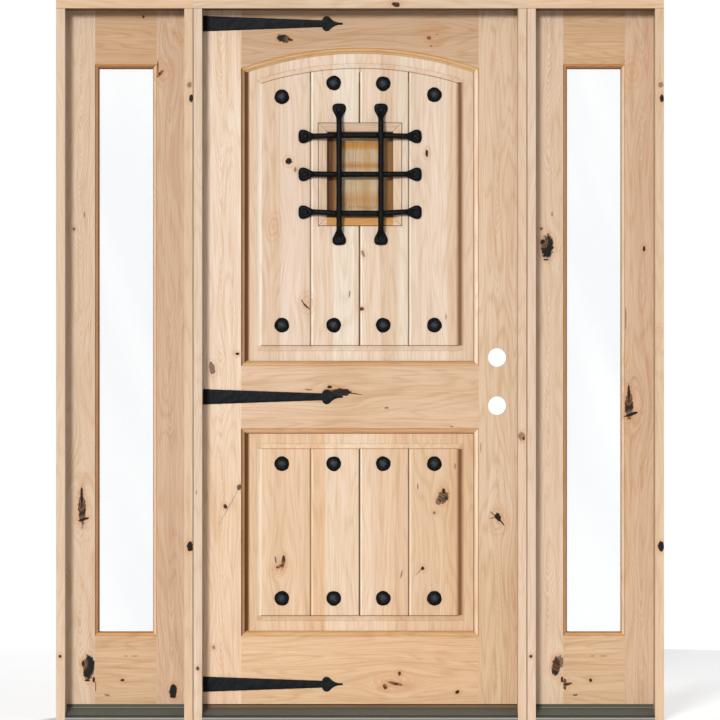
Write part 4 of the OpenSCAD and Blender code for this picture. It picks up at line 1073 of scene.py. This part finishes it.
# A round bar whose ends open into a bell and lie down on the panel. Along the bar the half width
# grows by an eased curve and closes as a superellipse, while the middle of the section moves from the
# bar's own depth to the pad's. Each section is a superellipse of the angle.
def forgedBar(length, depth, seed, saddles=()):
    g = grille
    padAt = length / 2.0 - g["flareRadius"]
    flareAt = padAt - g["flareRadius"] - g["neck"]
    closeAt = padAt + g["closing"]
    closing = length / 2.0 - closeAt
    tail = closing * np.sin(np.linspace(0.0, np.pi / 2.0, 12))[1:]
    bar = np.linspace(0.0, flareAt, 60)[:-1]
    half = np.concatenate([bar, np.linspace(flareAt, closeAt, 40), closeAt + tail])
    run = np.concatenate([-half[:0:-1], half])
    far = np.abs(run)
    flare = ease((far - flareAt) / (closeAt - flareAt)) ** 1.15
    wide = g["barRadius"] + (g["flareRadius"] - g["barRadius"]) * flare
    close = np.clip((far - closeAt) / closing, 0.0, 1.0)
    wide = wide * (1.0 - 0.985 * close ** 3.0) ** (1.0 / 3.0)
    lay = ease((far - flareAt + 4.0) / (padAt - flareAt - 2.0))
    thick = g["barRadius"] + (g["padDepth"] / 2.0 - g["barRadius"]) * lay
    thick = thick * (1.0 - 0.75 * close ** 4.0)
    middle = depth + (g["seat"] - g["padDepth"] / 2.0 - depth) * lay
    wobble = np.ones_like(run)
    for part, rate, seeds in g["wobble"]:
        wobble = wobble - part * (1.0 + np.sin(run * rate + seeds * seed)) * (1.0 - lay)
    turn = np.linspace(0.0, 2.0 * np.pi, 36, endpoint=False)
    power = (2.0 / (2.0 + 0.9 * lay))[:, None]
    sideways = (wide * wobble)[:, None] * np.sign(np.cos(turn)) * np.abs(np.cos(turn)) ** power
    outward = (thick * wobble)[:, None] * np.sign(np.sin(turn)) * np.abs(np.sin(turn)) ** power
    for spot in saddles:
        dent = g["saddle"] * np.exp(-((run - spot) / g["saddleWide"]) ** 4)
        outward = np.where(outward < 0, outward * (1.0 - dent)[:, None], outward)
    facing = np.clip(-outward / np.maximum(thick, 0.1)[:, None], 0.0, 1.0)
    away = np.sqrt((far - padAt)[:, None] ** 2 + sideways ** 2)
    outward = outward + facing * g["dimple"] * np.exp(-(away / g["dimpleWide"]) ** 2)
    outward = outward - facing * g["swell"] * np.exp(-((away - g["swellAt"]) / g["swellWide"]) ** 2)
    along = np.broadcast_to(run[:, None], sideways.shape)
    return np.stack([along, middle[:, None] + outward, sideways], axis=-1)


def standUp(rings, atX, atZ):
    return np.stack([atX + rings[..., 2], rings[..., 1], atZ + rings[..., 0]], axis=-1)


# between its pads a crossbar is lifted or dropped by an eased step at each end
def layAcross(rings, atX, atZ, bow):
    lift = bow * (1.0 - ease((np.abs(rings[..., 0]) - grille["bowAt"]) / grille["bowOver"]))
    return np.stack([atX + rings[..., 0], rings[..., 1], atZ + rings[..., 2] + lift], axis=-1)


uprights = []
for side in (-1, 1):
    bar = forgedBar(grille["uprightLong"], grille["uprightY"], 0.8 + 2.0 * side)
    uprights.append(ringSkin(standUp(bar, side * grille["uprightX"], ringFront[1])))
crossings = (-grille["uprightX"], grille["uprightX"])
crossbars = []
for row in (-1, 0, 1):
    bar = forgedBar(grille["crossLong"], grille["crossY"], 1.9 * row, crossings)
    rowZ = ringFront[1] + row * grille["crossZ"]
    crossbars.append(ringSkin(layAcross(bar, 0.0, rowZ, grille["bow"][row])))
forgedPiece("forgedUprights", uprights, barIron, "door_leaf", ["grille_uprights"], grille["sharp"])
forgedPiece("forgedCrossbars", crossbars, barIron, "door_leaf", ["grille_crossbars"], grille["sharp"])

strap = {
    "startX": -453.5,        # the butt, at the hinge side
    "face": 13.55,           # the leaf's outside face
    "long": 404.0,
    "butt": 45.0,
    "neck": 19.5,
    "thick": 3.0,
    "shoulderAt": 357.0,
    "shoulderOff": 8.6,
    "shoulderRadius": 13.0,
    "flankRadius": 40.0,
    "tipRadius": 3.0,
    "wave": 0.14,            # how far the hammered edges waver
    "dip": 0.16,             # and how deep the face is dished
    "sharp": 40,
    "rows": ("strap_bottom", "strap_middle", "strap_top"),
}


# A flat strap: its half width is the widest of a straight taper, two round shoulders, hollow flanks
# that are arcs of a circle, and a round tip. Each section is a flat superellipse.
def flatStrap(middleZ, seed):
    s = strap
    tipAt = s["long"] - s["tipRadius"]
    flankSum = s["shoulderRadius"] + s["flankRadius"]
    flankDrop = s["tipRadius"] + s["flankRadius"] - s["shoulderOff"]
    flankAt = s["shoulderAt"] + math.sqrt(flankSum ** 2 - flankDrop ** 2)
    run = np.concatenate([[0.0, 0.3], np.linspace(1.0, s["shoulderAt"] - 14.0, 110),
                          s["shoulderAt"] - 13.0 * np.cos(np.linspace(0.0, np.pi * 0.75, 40)),
                          np.linspace(s["shoulderAt"] + 10.0, tipAt, 60)[1:],
                          tipAt + s["tipRadius"] * np.sin(np.linspace(0.0, np.pi / 2.0, 12))[1:]])
    taper = s["butt"] / 2.0 + (s["neck"] - s["butt"]) / 2.0 * np.minimum(run / s["shoulderAt"], 1.0)
    taper = np.where(run < s["shoulderAt"] + 2.0, taper, 0.0)
    bulge = s["shoulderRadius"] ** 2 - (run - s["shoulderAt"]) ** 2
    shoulder = np.where(bulge > 0, s["shoulderOff"] + np.sqrt(np.maximum(bulge, 0.0)), 0.0)
    hollow = s["flankRadius"] ** 2 - (run - flankAt) ** 2
    flank = np.where((run > s["shoulderAt"] + 6.0) & (run < flankAt),
                     s["tipRadius"] + s["flankRadius"] - np.sqrt(np.maximum(hollow, 0.0)), 0.0)
    inFlank = run > s["shoulderAt"] + s["shoulderRadius"] * (flankAt - s["shoulderAt"]) / flankSum
    ball = s["tipRadius"] ** 2 - (run - tipAt) ** 2
    tip = np.where(run < tipAt, s["tipRadius"], np.sqrt(np.maximum(ball, 0.0)))
    tip = np.maximum(tip, 0.12)          # never quite closed, so that the end has a face
    half = np.where(inFlank, np.maximum(flank, tip), np.maximum(taper, shoulder))
    wavy = (run > 2.0) * (run < s["shoulderAt"] - 16.0)
    half = half - s["wave"] * (1.0 + np.sin(run * 0.19 + seed)) * wavy
    turn = np.linspace(0.0, 2.0 * np.pi, 28, endpoint=False)
    sideways = half[:, None] * np.sign(np.cos(turn)) * np.abs(np.cos(turn)) ** 0.42
    thin = s["thick"] / 2.0
    outward = thin * np.sign(np.sin(turn)) * np.abs(np.sin(turn)) ** 0.34 * np.ones_like(run)[:, None]
    dip = (1.0 + np.sin(run * 0.11 + seed))[:, None] * (1.0 + np.sin(sideways * 0.35 + seed)) / 2.0
    outward = np.where(outward < -thin * 0.5, outward + s["dip"] * dip, outward)
    along = np.broadcast_to(s["startX"] + run[:, None], sideways.shape)
    return np.stack([along, s["face"] - thin + outward, middleZ + sideways], axis=-1)


for k, nodeName in enumerate(strap["rows"]):
    skin = ringSkin(flatStrap(frontOf(nodeName)[1], 2.1 * k))
    forgedPiece(nodeName + "_forged", [skin], plateIron, "door_leaf", [nodeName], strap["sharp"])
print("forged pieces ready")
